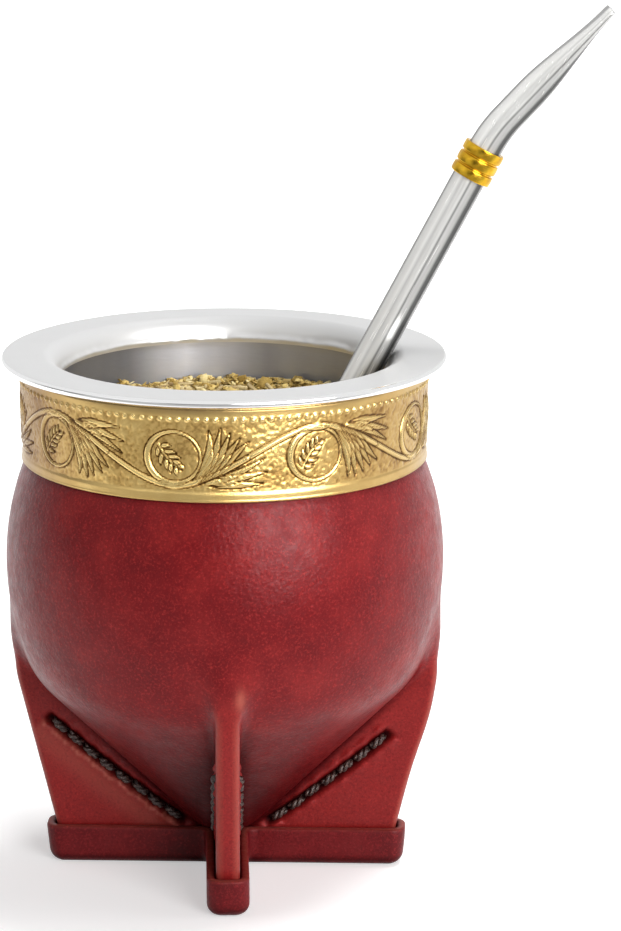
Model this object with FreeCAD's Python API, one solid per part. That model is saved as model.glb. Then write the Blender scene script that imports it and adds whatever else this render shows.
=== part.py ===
import FreeCAD, Part
import math
import os

# Mate cup with its drink: a calabash gourd in a leather cover, which stands on four folded
# fins in a cross-shaped leather sole, with a brass band, a polished steel rim, the yerba and
# a steel bombilla. Millimetres; +Z is up, the origin is on the cup's axis at the base plane,
# and the bombilla leans towards +X.

# ---- Driving dimensions ----

# Mouth and neck
BORE_R = 33.9            # inside of the steel sleeve
SLEEVE_T = 1.0           # steel sleeve's wall
NECK_GOURD_T = 3.82      # gourd wall between the sleeve and the leather
NECK_FLARE = 0.5         # the neck is this much wider at its top
BAND_T = 0.45            # brass sheet at its plain ground
BAND_H = 19.0            # from the band's lower edge to the underside of the rim
BAND_BORDER_H = 2.0      # plain border along the lower edge
BAND_RELIEF = 0.25       # the borders stand this far out of the ground
BEAD_H = 1.2             # beaded moulding
BEAD_DROP = 2.4          # from the rim's underside to the middle of the beading
LEATHER_TUCK = 4.0       # the leather runs up this far behind the band

# Rim
RIM_OVERHANG = 3.63      # the lip stands out past the top of the band
RIM_T = 2.8              # flange at its crown
LIP_R = 0.85             # half the thickness of the rounded lip
LIP_DROP = 0.15          # the flange falls this much from its crown to its lip
ROLL_W = 3.5             # the flange rolls down into the bore over this width
ROLL_H = 5.0             # and this height

# Body, from the neck down: belly arc, turn arc, cone and rounded tip
BULGE = 4.33             # the belly stands out this far past the neck
BELLY_ARC = 57.5
TURN_ARC = 20.0
TIP_ARC = 10.0
TURN_START = math.radians(19.4)     # slope from the vertical where the turn arc starts
CONE_ANGLE = math.radians(45.0)     # slope of the cone from the vertical
LEATHER_T = 2.45
GOURD_T = 4.6

# Fins: the cover's leather folded double
FIN_INSET = 1.25         # the fin's shoulder stays this far inside the belly
FIN_DROP = 21.5          # from the belly's widest ring down to the shoulder
FIN_SHOULDER_ARC = 25.0
FIN_LEAN = math.radians(13.8)
FIN_RUN_IN = 9.0         # the shoulder's arc runs on this far up, into the body
FOLD_ROUND = 2.3         # rounding of the fold, a little under the leather's thickness
# degrees about the axis: opposite fins are in line, the two lines not quite square
LINE_TURN = {"right": -3.2, "back": 90.4}
FIN_TURN = {"right": LINE_TURN["right"], "back": LINE_TURN["back"],
            "left": LINE_TURN["right"] + 180, "front": LINE_TURN["back"] + 180}

# Sole
SOLE_H = 8.4
SOLE_FLOOR_T = 2.4
SOLE_WALL_T = 1.85
SOLE_SIDE_GAP = 0.1      # between a fin's face and the wall
SOLE_END_GAP = 0.25      # between a fin's edge and the wall, at the top
SOLE_FLARE = math.radians(6.0)
SOLE_PLAN_ROUND = 3.0    # upright corners at the ends of the arms
SOLE_INNER_ROUND = 2.0   # upright corners between the arms
SOLE_BASE_ROUND = 2.6    # edge round the underside
BODY_CLEAR = 4.14        # from the sole's floor to the tip of the body

# Stitching
THREAD_R = 1.0
THREAD_SUNK = 0.9        # depth of the groove the stitches lie in
GROOVE_GAP = 0.15        # room in the groove on each side of a stitch
STITCH_PITCH = 4.2
STITCH_INSET = 0.7       # each stitch ends this far short of its holes
PIN_R = 0.75             # thread through a hole
ROW_START_RISE = 1.3     # the row starts this far above the sole
ROW_START_OUT = 1.45     # distance out from the cone where the row starts
ROW_MIDDLE_OUT = 4.0
ROW_END_OUT = 5.4
ROW_HEIGHT = {"right": 20.0, "back": 21.6, "left": 22.9, "front": 21.2}   # above the sole

# Yerba
YERBA_SINK = 13.6        # from the rim's crown down to the yerba's mean level
YERBA_WAVE = 0.8         # height of its unevenness
YERBA_GRID = 15          # points each way in its top surface

# Bombilla
TUBE_R = 3.5
TUBE_WALL = 0.6
TUBE_LEAN = math.radians(28.1)
TUBE_BACK = 3.2          # its plane lies this far behind the cup's axis
TUBE_REST_GAP = 0.05     # between the tube and the roll it leans on
TUBE_END_CLEAR = 1.0     # between its lower end and the gourd
COLLAR_UP = 46.0         # along the tube, from the rim to the collar's middle
COLLAR_WALL = 0.85
COLLAR_RINGS = 3
RING_L = 2.0
GROOVE_L = 0.45
GROOVE_DEPTH = 0.45
MOUTH_BEND_ARC = 30.0
MOUTH_BEND = math.radians(15.2)
MOUTH_L = 30.2           # straight part after the bend
MOUTH_T = 6.6            # thickness after the bend
TIP_T = 1.8              # thickness at the tip
TAPER_START = 6.0        # along the straight part
SECTION_POINTS = 16      # points round a section of the mouthpiece
BEND_STEPS = 2           # sections round its bend
STRAIGHT_STEPS = 6       # and along its straight part

# ---- Sizes worked out from them ----

NECK_R = BORE_R + SLEEVE_T + NECK_GOURD_T + LEATHER_T
NECK_TOP_R = NECK_R + NECK_FLARE
BODY_R = NECK_R + BULGE
BELLY_X = BODY_R - BELLY_ARC
TIP_Z = SOLE_FLOOR_T + BODY_CLEAR + TIP_ARC
TURN_X = BELLY_X + (BELLY_ARC - TURN_ARC) * math.cos(TURN_START)
TURN_Z = TIP_Z + (TURN_X * math.cos(CONE_ANGLE) + TURN_ARC - TIP_ARC) / math.sin(CONE_ANGLE)
EQUATOR_Z = TURN_Z + (BELLY_ARC - TURN_ARC) * math.sin(TURN_START)
NECK_Z = EQUATOR_Z + math.sqrt(BELLY_ARC**2 - (BELLY_ARC - BULGE)**2)
BAND_TOP_Z = NECK_Z + BAND_H
RIM_Z = BAND_TOP_Z + RIM_T
RIM_R = NECK_TOP_R + BAND_T + BAND_RELIEF + RIM_OVERHANG
CAVITY_INSET = LEATHER_T + GOURD_T
YERBA_Z = RIM_Z - YERBA_SINK

SHOULDER_R = BODY_R - FIN_INSET
SHOULDER_Z = EQUATOR_Z - FIN_DROP
# where the shoulder's arc meets the fin's straight edge
EDGE_R = SHOULDER_R - FIN_SHOULDER_ARC * (1 - math.cos(FIN_LEAN))
EDGE_Z = SHOULDER_Z - FIN_SHOULDER_ARC * math.sin(FIN_LEAN)


def fin_edge(z):
    """Radius of a fin's straight outer edge at height z."""
    return EDGE_R - (EDGE_Z - z) * math.tan(FIN_LEAN)


ARM_IN = fin_edge(SOLE_H) + SOLE_END_GAP        # inside of the sole's end wall, at the top
ARM_OUT = ARM_IN + SOLE_WALL_T / math.cos(SOLE_FLARE)


# ---- Helpers ----

def vec(x, z, y=0.0):
    return FreeCAD.Vector(x, y, z)


def outline(steps):
    """Closed face in the X-Z plane. A step is a point (x, z) that a straight edge runs to,
    a pair of points (on an arc, its end), or a ready-made edge with its end point."""
    here = steps[0]
    edges = []
    for step in steps[1:] + [steps[0]]:
        if step == here:
            continue
        if isinstance(step[0], Part.Edge):
            edges.append(step[0])
            here = step[1]
        elif isinstance(step[0], tuple):
            edges.append(Part.Arc(vec(*here), vec(*step[0]), vec(*step[1])).toShape())
            here = step[1]
        else:
            edges.append(Part.LineSegment(vec(*here), vec(*step)).toShape())
            here = step
    return Part.Face(Part.Wire(edges))


def turned(steps):
    """Solid of revolution about the Z axis."""
    return outline(steps).revolve(vec(0, 0), vec(0, 1), 360)


def plate(steps, half):
    """The outline as a plate, half thick on each side of the X-Z plane."""
    face = outline(steps)
    face.translate(vec(0, 0, -half))
    return face.extrude(vec(0, 0, 2 * half))


def on_arc(x, z, radius, slope):
    """Point on an arc whose outward normal dips by slope below the horizontal."""
    return (x + radius * math.cos(slope), z - radius * math.sin(slope))


def cone_point(z, out):
    """Point at height z, out mm outside the body's cone."""
    x0, z0 = on_arc(0, TIP_Z, TIP_ARC, CONE_ANGLE)
    return (x0 + ((z - z0) * math.sin(CONE_ANGLE) + out) / math.cos(CONE_ANGLE), z)


def body_steps(inset):
    """The body's outline, inset mm under its surface, from the tip up to the neck."""
    belly, turn, tip = BELLY_ARC - inset, TURN_ARC - inset, TIP_ARC - inset
    neck_slope = -math.asin((NECK_Z - EQUATOR_Z) / belly)
    middle = (CONE_ANGLE + TURN_START) / 2
    return [
        (0, TIP_Z - tip),
        (on_arc(0, TIP_Z, tip, (CONE_ANGLE + math.pi / 2) / 2), on_arc(0, TIP_Z, tip, CONE_ANGLE)),
        on_arc(TURN_X, TURN_Z, turn, CONE_ANGLE),
        (on_arc(TURN_X, TURN_Z, turn, middle), on_arc(TURN_X, TURN_Z, turn, TURN_START)),
        (on_arc(BELLY_X, EQUATOR_Z, belly, 0), on_arc(BELLY_X, EQUATOR_Z, belly, neck_slope)),
    ]


def neck_radius(z):
    """Radius of the neck's outer surface behind the band."""
    return NECK_R + NECK_FLARE * (z - NECK_Z) / BAND_H


def picked(shape, wanted):
    """The edges of shape whose middle point satisfies wanted."""
    found = []
    for edge in shape.Edges:
        middle = edge.valueAt((edge.FirstParameter + edge.LastParameter) / 2)
        if wanted(middle, edge):
            found.append(edge)
    return found


# ---- Leather cover, sole and gourd ----

def fin_plate():
    """One fin towards +X, from the sole's floor up into the body, its outer edge folded."""
    run_in = math.asin(FIN_RUN_IN / FIN_SHOULDER_ARC)
    shoulder_x = SHOULDER_R - FIN_SHOULDER_ARC
    top = on_arc(shoulder_x, SHOULDER_Z, FIN_SHOULDER_ARC, -run_in)
    fin = plate([
        (0, SOLE_FLOOR_T),
        (fin_edge(SOLE_FLOOR_T), SOLE_FLOOR_T),
        (EDGE_R, EDGE_Z),
        ((SHOULDER_R, SHOULDER_Z), top),
        (0, top[1]),
    ], LEATHER_T)
    fold = picked(fin, lambda p, e: abs(abs(p.y) - LEATHER_T) < 1e-3
                  and p.x > fin_edge(SOLE_FLOOR_T) and p.z > SOLE_FLOOR_T + 1)
    return fin.makeFillet(FOLD_ROUND, fold)


def around(shape, degrees):
    """A copy of shape, turned about the cup's axis."""
    copy = shape.copy()
    copy.rotate(vec(0, 0), vec(0, 1), degrees)
    return copy


def make_leather():
    top = NECK_Z + LEATHER_TUCK
    skin = turned(body_steps(0) + [(neck_radius(top), top), (0, top)])
    inside = turned(body_steps(LEATHER_T) + [(neck_radius(top) - LEATHER_T, top),
                                             (neck_radius(top) - LEATHER_T, top + 1), (0, top + 1)])
    fin = fin_plate()
    cover = skin.fuse([around(fin, turn) for turn in FIN_TURN.values()])
    cover = cover.removeSplitter().cut(inside)
    for side in FIN_TURN:
        cover = cover.cut(thread_room(side))
    return cover


def cross(arm, half, floor, round_ends):
    """A cross of two bars with flared, rounded ends, from floor up to the sole's top."""
    foot = arm - (SOLE_H - floor) * math.tan(SOLE_FLARE)
    bar = plate([(-foot, floor), (foot, floor), (arm, SOLE_H), (-arm, SOLE_H)], half)
    ends = picked(bar, lambda p, e: abs(p.x) > foot - 1 and abs(abs(p.y) - half) < 1e-3)
    bar = bar.makeFillet(round_ends, ends)
    bars = [around(bar, turn) for turn in LINE_TURN.values()]
    return bars[0].fuse(bars[1]).removeSplitter()


def make_sole():
    half_in = LEATHER_T + SOLE_SIDE_GAP
    half_out = half_in + SOLE_WALL_T
    tray = cross(ARM_OUT, half_out, 0.0, SOLE_PLAN_ROUND)
    inner = picked(tray, lambda p, e: math.hypot(p.x, p.y) < 2 * half_out
                   and e.BoundBox.ZLength > SOLE_H / 2)
    tray = tray.makeFillet(SOLE_INNER_ROUND, inner)
    tray = tray.makeFillet(SOLE_BASE_ROUND, picked(tray, lambda p, e: abs(p.z) < 1e-4))
    channel = cross(ARM_IN, half_in, SOLE_FLOOR_T, FOLD_ROUND)
    body = turned(body_steps(0) + [(0, NECK_Z)])
    return tray.cut([channel, body]).removeSplitter()


def make_gourd():
    """The gourd: its neck steps out over the leather's edge, and the sleeve sits in a rebate."""
    step_z = NECK_Z + LEATHER_TUCK
    sleeve_out = BORE_R + SLEEVE_T
    outside = turned(body_steps(LEATHER_T) + [
        (neck_radius(step_z) - LEATHER_T, step_z),
        (neck_radius(step_z), step_z),
        (NECK_TOP_R, BAND_TOP_Z),
        (0, BAND_TOP_Z),
    ])
    cavity = turned(body_steps(CAVITY_INSET) + [
        (sleeve_out, NECK_Z), (sleeve_out, BAND_TOP_Z + 1), (0, BAND_TOP_Z + 1)])
    return outside.cut(cavity)


# ---- Metal of the mouth ----

def make_rim():
    """Flange with a rounded lip, rolled down into the bore and on as a sleeve."""
    lip_x = RIM_R - LIP_R
    lip_top = RIM_Z - LIP_DROP
    crown_x = BORE_R + ROLL_W
    roll_z = RIM_Z - ROLL_H
    centre = vec(crown_x, roll_z)
    # an ellipse names its longer half-axis first
    if ROLL_H > ROLL_W:
        ellipse = Part.Ellipse(vec(crown_x, RIM_Z), vec(BORE_R, roll_z), centre)
        roll = Part.ArcOfEllipse(ellipse, 0, math.pi / 2).toShape()
    else:
        ellipse = Part.Ellipse(vec(BORE_R, roll_z), vec(crown_x, RIM_Z), centre)
        roll = Part.ArcOfEllipse(ellipse, 0, math.pi / 2).toShape()
    return turned([
        (crown_x, RIM_Z),
        (lip_x, lip_top),
        ((RIM_R, lip_top - LIP_R), (lip_x, lip_top - 2 * LIP_R)),
        (NECK_TOP_R + BAND_T + BAND_RELIEF, BAND_TOP_Z),
        (BORE_R + SLEEVE_T, BAND_TOP_Z),
        (BORE_R + SLEEVE_T, NECK_Z),
        (BORE_R, NECK_Z),
        (BORE_R, roll_z),
        (roll, (crown_x, RIM_Z)),
    ])


def make_band():
    """Brass band with a plain border below and a beaded moulding below its plain top strip."""
    def ground(z):
        return neck_radius(z) + BAND_T

    border = NECK_Z + BAND_BORDER_H
    bead = BAND_TOP_Z - BEAD_DROP
    low, high = bead - BEAD_H / 2, bead + BEAD_H / 2
    return turned([
        (NECK_R, NECK_Z),
        (ground(NECK_Z) + BAND_RELIEF, NECK_Z),
        (ground(border) + BAND_RELIEF, border),
        (ground(border), border + BAND_RELIEF),
        (ground(low), low),
        ((ground(bead) + BEAD_H / 2, bead), (ground(high), high)),
        (ground(BAND_TOP_Z), BAND_TOP_Z),
        (NECK_TOP_R, BAND_TOP_Z),
    ])


# ---- Bombilla ----

def tube_axis():
    """A point on the tube's axis at the height where it leans on the rolled rim."""
    at = math.atan2(ROLL_H * math.tan(TUBE_LEAN), ROLL_W)
    contact_r = BORE_R + ROLL_W * (1 - math.cos(at))
    contact_z = RIM_Z - ROLL_H * (1 - math.sin(at))
    reach = contact_r - (TUBE_R + TUBE_REST_GAP) / math.cos(TUBE_LEAN)
    return vec(math.sqrt(reach**2 - TUBE_BACK**2), contact_z, TUBE_BACK)


def along(lean):
    """Unit vector in the bombilla's plane, leaning from the vertical towards +X."""
    return vec(math.sin(lean), math.cos(lean))


def tube_depth():
    """Length of the tube below the rim: it stops short of the gourd's inner cone."""
    start = tube_axis()
    floor_x, floor_z = on_arc(0, TIP_Z, TIP_ARC - CAVITY_INSET, CONE_ANGLE)
    # distance of a point on the -X side from the inner cone, measured along its normal
    slope_x, slope_z = math.cos(CONE_ANGLE), math.sin(CONE_ANGLE)
    gap = (floor_x + start.x) * slope_x + (start.z - floor_z) * slope_z
    closing = math.sin(TUBE_LEAN) * slope_x + math.cos(TUBE_LEAN) * slope_z
    end_disc = TUBE_R * math.sqrt(1 - closing**2)
    return (gap - end_disc - TUBE_END_CLEAR) / closing


COLLAR_L = COLLAR_RINGS * RING_L + (COLLAR_RINGS - 1) * GROOVE_L
JOINT_UP = COLLAR_UP                     # the tube meets the mouthpiece inside the collar
BEND_UP = COLLAR_UP + COLLAR_L / 2       # the mouthpiece bends where it leaves the collar


def section(centre, direction, thickness, inset):
    """Closed section of the mouthpiece, as wide as keeps the tube's perimeter: round where
    it is as thick as the tube, and squarer at its ends as it gets flatter."""
    width = thickness + math.pi * (TUBE_R - thickness / 2)
    power = 2 / (2 + 1 - thickness / (2 * TUBE_R))
    across = FreeCAD.Vector(0, 1, 0)
    normal = direction.cross(across)
    points = []
    for i in range(SECTION_POINTS):
        angle = 2 * math.pi * i / SECTION_POINTS
        c, s = math.cos(angle), math.sin(angle)
        u = math.copysign(abs(c) ** power, c) * (width / 2 - inset)
        v = math.copysign(abs(s) ** power, s) * (thickness / 2 - inset)
        points.append(centre + across * u + normal * v)
    curve = Part.BSplineCurve()
    curve.interpolate(points, True)
    return Part.Wire(curve.toShape())


def mouth_thickness(s):
    """Thickness at s mm along the straight part of the mouthpiece."""
    u = min(max((s - TAPER_START) / (MOUTH_L - TAPER_START), 0), 1)
    return TIP_T + (MOUTH_T - TIP_T) * (1 - u * u * (3 - 2 * u))


def mouth_sections(inset, overrun):
    """Sections from the joint round the bend to the tip, and overrun mm past both ends."""
    rest = tube_axis()
    way = along(TUBE_LEAN)
    sections = [section(rest + way * (JOINT_UP - overrun), way, 2 * TUBE_R, inset),
                section(rest + way * BEND_UP, way, 2 * TUBE_R, inset)]
    here = rest + way * BEND_UP
    step = MOUTH_BEND / BEND_STEPS
    for i in range(BEND_STEPS):
        lean = TUBE_LEAN + step * (i + 0.5)
        here = here + along(lean) * (2 * MOUTH_BEND_ARC * math.sin(step / 2))
        thickness = 2 * TUBE_R + (MOUTH_T - 2 * TUBE_R) * (i + 1) / BEND_STEPS
        sections.append(section(here, along(lean + step / 2), thickness, inset))
    way = along(TUBE_LEAN + MOUTH_BEND)
    for i in range(1, STRAIGHT_STEPS + 1):
        s = MOUTH_L * i / STRAIGHT_STEPS
        past = overrun if i == STRAIGHT_STEPS else 0
        sections.append(section(here + way * (s + past), way, mouth_thickness(s), inset))
    return sections


def make_tube():
    """Straight tube, open at both ends."""
    way = along(TUBE_LEAN)
    start = tube_axis() - way * tube_depth()
    length = tube_depth() + JOINT_UP
    hollow = Part.makeCylinder(TUBE_R - TUBE_WALL, length + 2, start - way, way)
    return Part.makeCylinder(TUBE_R, length, start, way).cut(hollow)


def make_mouthpiece():
    """Mouthpiece: goes on from the tube, bends, and flattens to a slot at its tip."""
    outer = Part.makeLoft(mouth_sections(0, 0), True, False)
    return outer.cut(Part.makeLoft(mouth_sections(TUBE_WALL, 0.5), True, False))


def make_collar():
    """Brass collar: rings with grooves between them, over the joint of tube and mouthpiece."""
    outer = TUBE_R + COLLAR_WALL
    steps = [(TUBE_R, 0), (outer, 0)]
    z = 0.0
    for i in range(COLLAR_RINGS):
        z += RING_L
        steps.append((outer, z))
        if i < COLLAR_RINGS - 1:
            steps += [(outer - GROOVE_DEPTH, z), (outer - GROOVE_DEPTH, z + GROOVE_L)]
            z += GROOVE_L
            steps.append((outer, z))
    steps.append((TUBE_R, z))
    collar = turned(steps)
    low = tube_axis() + along(TUBE_LEAN) * (COLLAR_UP - COLLAR_L / 2)
    collar.Placement = FreeCAD.Placement(low, FreeCAD.Rotation(vec(0, 1), along(TUBE_LEAN)))
    return collar


# ---- Yerba ----

def yerba_height(x, y):
    """Uneven top of the yerba."""
    wave = math.sin(0.21 * x + 0.6) * math.cos(0.17 * y - 0.4) + 0.5 * math.sin(0.33 * y + 0.24 * x)
    return YERBA_Z + YERBA_WAVE * wave


def make_yerba():
    """Fills the cavity and the sleeve up to its uneven top, cut round the bombilla."""
    fill = turned(body_steps(CAVITY_INSET) + [(BORE_R, NECK_Z), (BORE_R, RIM_Z), (0, RIM_Z)])
    reach = BORE_R + 5
    step = 2 * reach / (YERBA_GRID - 1)
    places = [-reach + step * i for i in range(YERBA_GRID)]
    surface = Part.BSplineSurface()
    surface.interpolate([[vec(x, yerba_height(x, y), y) for y in places] for x in places])
    above = surface.toShape().extrude(vec(0, RIM_Z))
    start = tube_axis() - along(TUBE_LEAN) * tube_depth()
    straw = Part.makeCylinder(TUBE_R, tube_depth() + RIM_Z, start, along(TUBE_LEAN))
    return fill.cut([above, straw])


# ---- Stitching ----

def row_points(side):
    """Start, middle and end of the line of stitches on a fin's face, from the sole outwards."""
    low = SOLE_H + ROW_START_RISE
    high = SOLE_H + ROW_HEIGHT[side]
    return [vec(*cone_point(low, ROW_START_OUT)),
            vec(*cone_point((low + high) / 2, ROW_MIDDLE_OUT)),
            vec(*cone_point(high, ROW_END_OUT))]


def hole_places(side):
    """The stitch holes' centres on a fin that points towards +X."""
    row = Part.Arc(*row_points(side)).toShape()
    return row.discretize(max(2, round(row.Length / STITCH_PITCH)) + 1)


def thread_room(side):
    """What a row of stitches takes out of its fin: a groove in each face, and the holes."""
    start, middle, end = row_points(side)
    way = (end - start).normalize()
    side_step = way.cross(FreeCAD.Vector(0, 1, 0)) * (THREAD_R + GROOVE_GAP)
    end_step = way * (THREAD_R + GROOVE_GAP)
    start, end = start - end_step, end + end_step

    def flat(point):
        return (point.x, point.z)

    groove = outline([
        flat(start - side_step),
        (flat(middle - side_step), flat(end - side_step)),
        flat(end + side_step),
        (flat(middle + side_step), flat(start + side_step)),
    ])
    depth = THREAD_SUNK + 1.0
    near, far = groove.copy(), groove.copy()
    near.translate(vec(0, 0, -LEATHER_T - 1.0))
    far.translate(vec(0, 0, LEATHER_T - THREAD_SUNK))
    room = [near.extrude(vec(0, 0, depth)), far.extrude(vec(0, 0, depth))]
    for hole in hole_places(side):
        room.append(Part.makeCylinder(PIN_R, 2 * LEATHER_T, hole - vec(0, 0, LEATHER_T), vec(0, 0, 1)))
    return [around(piece, FIN_TURN[side]) for piece in room]


def stitch(start, end):
    """One stitch: a round-ended length of thread between two points."""
    length = start.distanceToPoint(end)
    corner = THREAD_R * math.sqrt(0.5)
    body = turned([
        (0, -THREAD_R),
        ((corner, -corner), (THREAD_R, 0)),
        (THREAD_R, length),
        ((corner, length + corner), (0, length + THREAD_R)),
    ])
    body.Placement = FreeCAD.Placement(start, FreeCAD.Rotation(vec(0, 1), end - start))
    return body


def make_thread(side):
    """Saddle stitches: thread through every hole, and a stitch between holes on both faces."""
    holes = hole_places(side)
    offset = LEATHER_T + THREAD_R - THREAD_SUNK
    across = FreeCAD.Vector(0, 1, 0)
    thread = Part.makeCylinder(PIN_R, 2 * offset, holes[0] - across * offset, across)
    for near, far in zip(holes, holes[1:]):
        inset = (far - near).normalize() * STITCH_INSET
        pin = Part.makeCylinder(PIN_R, 2 * offset, far - across * offset, across)
        stitches = [stitch(near + inset + across * face, far - inset + across * face)
                    for face in (-offset, offset)]
        thread = thread.fuse(stitches).fuse(pin)
    return around(thread, FIN_TURN[side])


def main():
    os.makedirs("parts", exist_ok=True)
    nodes = {
        "leather_cover": make_leather(),
        "leather_sole": make_sole(),
        "gourd_shell": make_gourd(),
        "brass_band": make_band(),
        "steel_rim": make_rim(),
        "yerba": make_yerba(),
        "bombilla_tube": make_tube(),
        "bombilla_mouthpiece": make_mouthpiece(),
        "bombilla_collar": make_collar(),
    }
    for side in FIN_TURN:
        nodes["thread_" + side] = make_thread(side)
    for name, shape in nodes.items():
        shape.exportStep("parts/" + name + ".step")
        box = shape.BoundBox
        print("%-16s solids %d valid %s volume %9.1f  x %.2f..%.2f  y %.2f..%.2f  z %.2f..%.2f" % (
            name, len(shape.Solids), shape.isValid(), shape.Volume,
            box.XMin, box.XMax, box.YMin, box.YMax, box.ZMin, box.ZMax))


main()
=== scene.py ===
"""Looks of the mate cup: leather, embossed brass, polished steel, yerba and bombilla.

Shapes are worked out in millimetres, in the CAD's own frame, and become metres when a mesh is made.
"""

import math

import bpy
import numpy as np
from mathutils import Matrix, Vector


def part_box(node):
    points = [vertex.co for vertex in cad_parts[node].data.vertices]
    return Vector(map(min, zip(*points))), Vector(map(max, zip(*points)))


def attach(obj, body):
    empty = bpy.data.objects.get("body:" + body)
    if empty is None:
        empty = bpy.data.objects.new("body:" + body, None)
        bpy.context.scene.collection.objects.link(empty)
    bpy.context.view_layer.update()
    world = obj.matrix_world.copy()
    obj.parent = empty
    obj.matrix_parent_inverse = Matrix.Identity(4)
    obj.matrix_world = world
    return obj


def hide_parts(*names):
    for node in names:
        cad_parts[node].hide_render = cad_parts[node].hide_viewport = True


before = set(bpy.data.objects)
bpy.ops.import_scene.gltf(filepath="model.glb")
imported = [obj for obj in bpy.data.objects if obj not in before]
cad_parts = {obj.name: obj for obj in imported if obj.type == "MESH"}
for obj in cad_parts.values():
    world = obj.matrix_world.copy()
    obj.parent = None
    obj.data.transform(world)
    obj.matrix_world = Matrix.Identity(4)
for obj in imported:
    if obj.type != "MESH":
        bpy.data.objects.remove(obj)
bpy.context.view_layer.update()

MM = 0.001
TAU = 2 * math.pi


# ---- Sizes: the CAD's boxes, and the values its shapes are drawn with ----

def box_mm(name):
    """Lowest and highest corner of a CAD node, in millimetres."""
    low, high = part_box(name)
    return np.array(low) / MM, np.array(high) / MM


_, RIM_HIGH = box_mm("steel_rim")
BAND_LOW, BAND_HIGH = box_mm("brass_band")
COVER_LOW, COVER_HIGH = box_mm("leather_cover")
_, SOLE_HIGH = box_mm("leather_sole")
TUBE_LOW, _ = box_mm("bombilla_tube")

RIM_Z, RIM_R = RIM_HIGH[2], min(RIM_HIGH[:2])
NECK_Z, BAND_TOP = BAND_LOW[2], BAND_HIGH[2]
COVER_TOP, SOLE_H = COVER_HIGH[2], SOLE_HIGH[2]
SOLE_FLOOR = COVER_LOW[2]

BORE_R = 33.9
SLEEVE_T = 1.0
NECK_R = 41.17
NECK_FLARE = 0.5
NECK_TOP_R = NECK_R + NECK_FLARE
BAND_T = 0.45
BORDER_H = 2.0
LIP_R = 0.85              # half the thickness of the flange at its edge
ROLL_W, ROLL_H = 3.5, 5.0     # the quarter ellipse that rolls into the bore
LEATHER_T = 2.45
GOURD_T = 4.6

# the body's outline: belly arc, turn arc, cone, rounded tip
BODY_R = 45.5
BELLY_ARC, TURN_ARC, TIP_ARC = 57.5, 20.0, 10.0
TURN_START, CONE = math.radians(19.4), math.radians(45.0)
BELLY_X = BODY_R - BELLY_ARC
TIP_CLEAR = 4.14
TIP_Z = SOLE_FLOOR + TIP_CLEAR + TIP_ARC
TURN_X = BELLY_X + (BELLY_ARC - TURN_ARC) * math.cos(TURN_START)
TURN_Z = TIP_Z + (TURN_X * math.cos(CONE) + TURN_ARC - TIP_ARC) / math.sin(CONE)
BELLY_Z = TURN_Z + (BELLY_ARC - TURN_ARC) * math.sin(TURN_START)

# fins
SHOULDER_R, SHOULDER_Z, SHOULDER_ARC = BODY_R - 1.25, BELLY_Z - 21.5, 25.0
FIN_LEAN = math.radians(13.8)
EDGE_R = SHOULDER_R - SHOULDER_ARC * (1 - math.cos(FIN_LEAN))
EDGE_Z = SHOULDER_Z - SHOULDER_ARC * math.sin(FIN_LEAN)
FIN_ROUND = 1.5
FIN_TURN = {"right": -3.2, "back": 90.4, "left": 176.8, "front": 270.4}
RIGHT_BULGE, BULGE_Z, BULGE_WIDTH = 0.9, 33.0, 9.0     # the right fin stands out this much more

# stitching
ROW_HEIGHT = {"right": 20.0, "back": 21.6, "left": 22.9, "front": 21.2}
ROW_START_RISE = 1.3
ROW_OUT = (1.45, 4.0, 5.4)
STITCH_PITCH = 4.2
GROOVE_DEPTH = 0.95

# bombilla
TUBE_R, TUBE_WALL = 3.5, 0.6
TUBE_LEAN, MOUTH_BEND = math.radians(28.1), math.radians(15.2)
TUBE_BACK = 3.2
STRAW_GAP = 0.05          # between the tube and the rim that it leans on
STRAW_SIDES = 72
COLLAR_UP = 46.0
MOUTH_L, MOUTH_T, TIP_T, TAPER_START, BEND_ARC = 30.2, 6.6, 1.8, 6.0, 30.0

YERBA_SINK, YERBA_WAVE = 13.6, 0.8
YERBA_Z = RIM_Z - YERBA_SINK


# ---- Small maths ----

def smooth_min(a, b, k):
    """Lower of two distances, blended over a width k."""
    h = np.clip(0.5 + 0.5 * (b - a) / k, 0, 1)
    return b + (a - b) * h - k * h * (1 - h)


def smooth_step(x, low, high):
    t = np.clip((x - low) / (high - low), 0, 1)
    return t * t * (3 - 2 * t)


def bell(x, width):
    return np.exp(-(x / width) ** 2)


def between(x, low, high, soft):
    """1 from low to high, falling to 0 over a width soft beyond each of them."""
    return smooth_step(x, low - soft, low) * smooth_step(-x, -high - soft, -high)


def hashed(i, j, seed):
    """Repeatable random values in 0..1 for whole-number places."""
    value = np.sin(i * 127.1 + j * 311.7 + seed * 74.7) * 43758.5453
    return value - np.floor(value)


def noise(x, y, seed, period=0):
    """Smooth value noise in -1..1; x repeats after period cells, when that is given."""
    i, j = np.floor(x), np.floor(y)
    fx, fy = x - i, y - j
    fx, fy = fx * fx * (3 - 2 * fx), fy * fy * (3 - 2 * fy)

    def corner(di, dj):
        column = i + di
        if period:
            column = np.mod(column, period)
        return hashed(column, j + dj, seed)

    low = corner(0, 0) * (1 - fx) + corner(1, 0) * fx
    high = corner(0, 1) * (1 - fx) + corner(1, 1) * fx
    return 2 * (low * (1 - fy) + high * fy) - 1


# ---- Meshes ----

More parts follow.
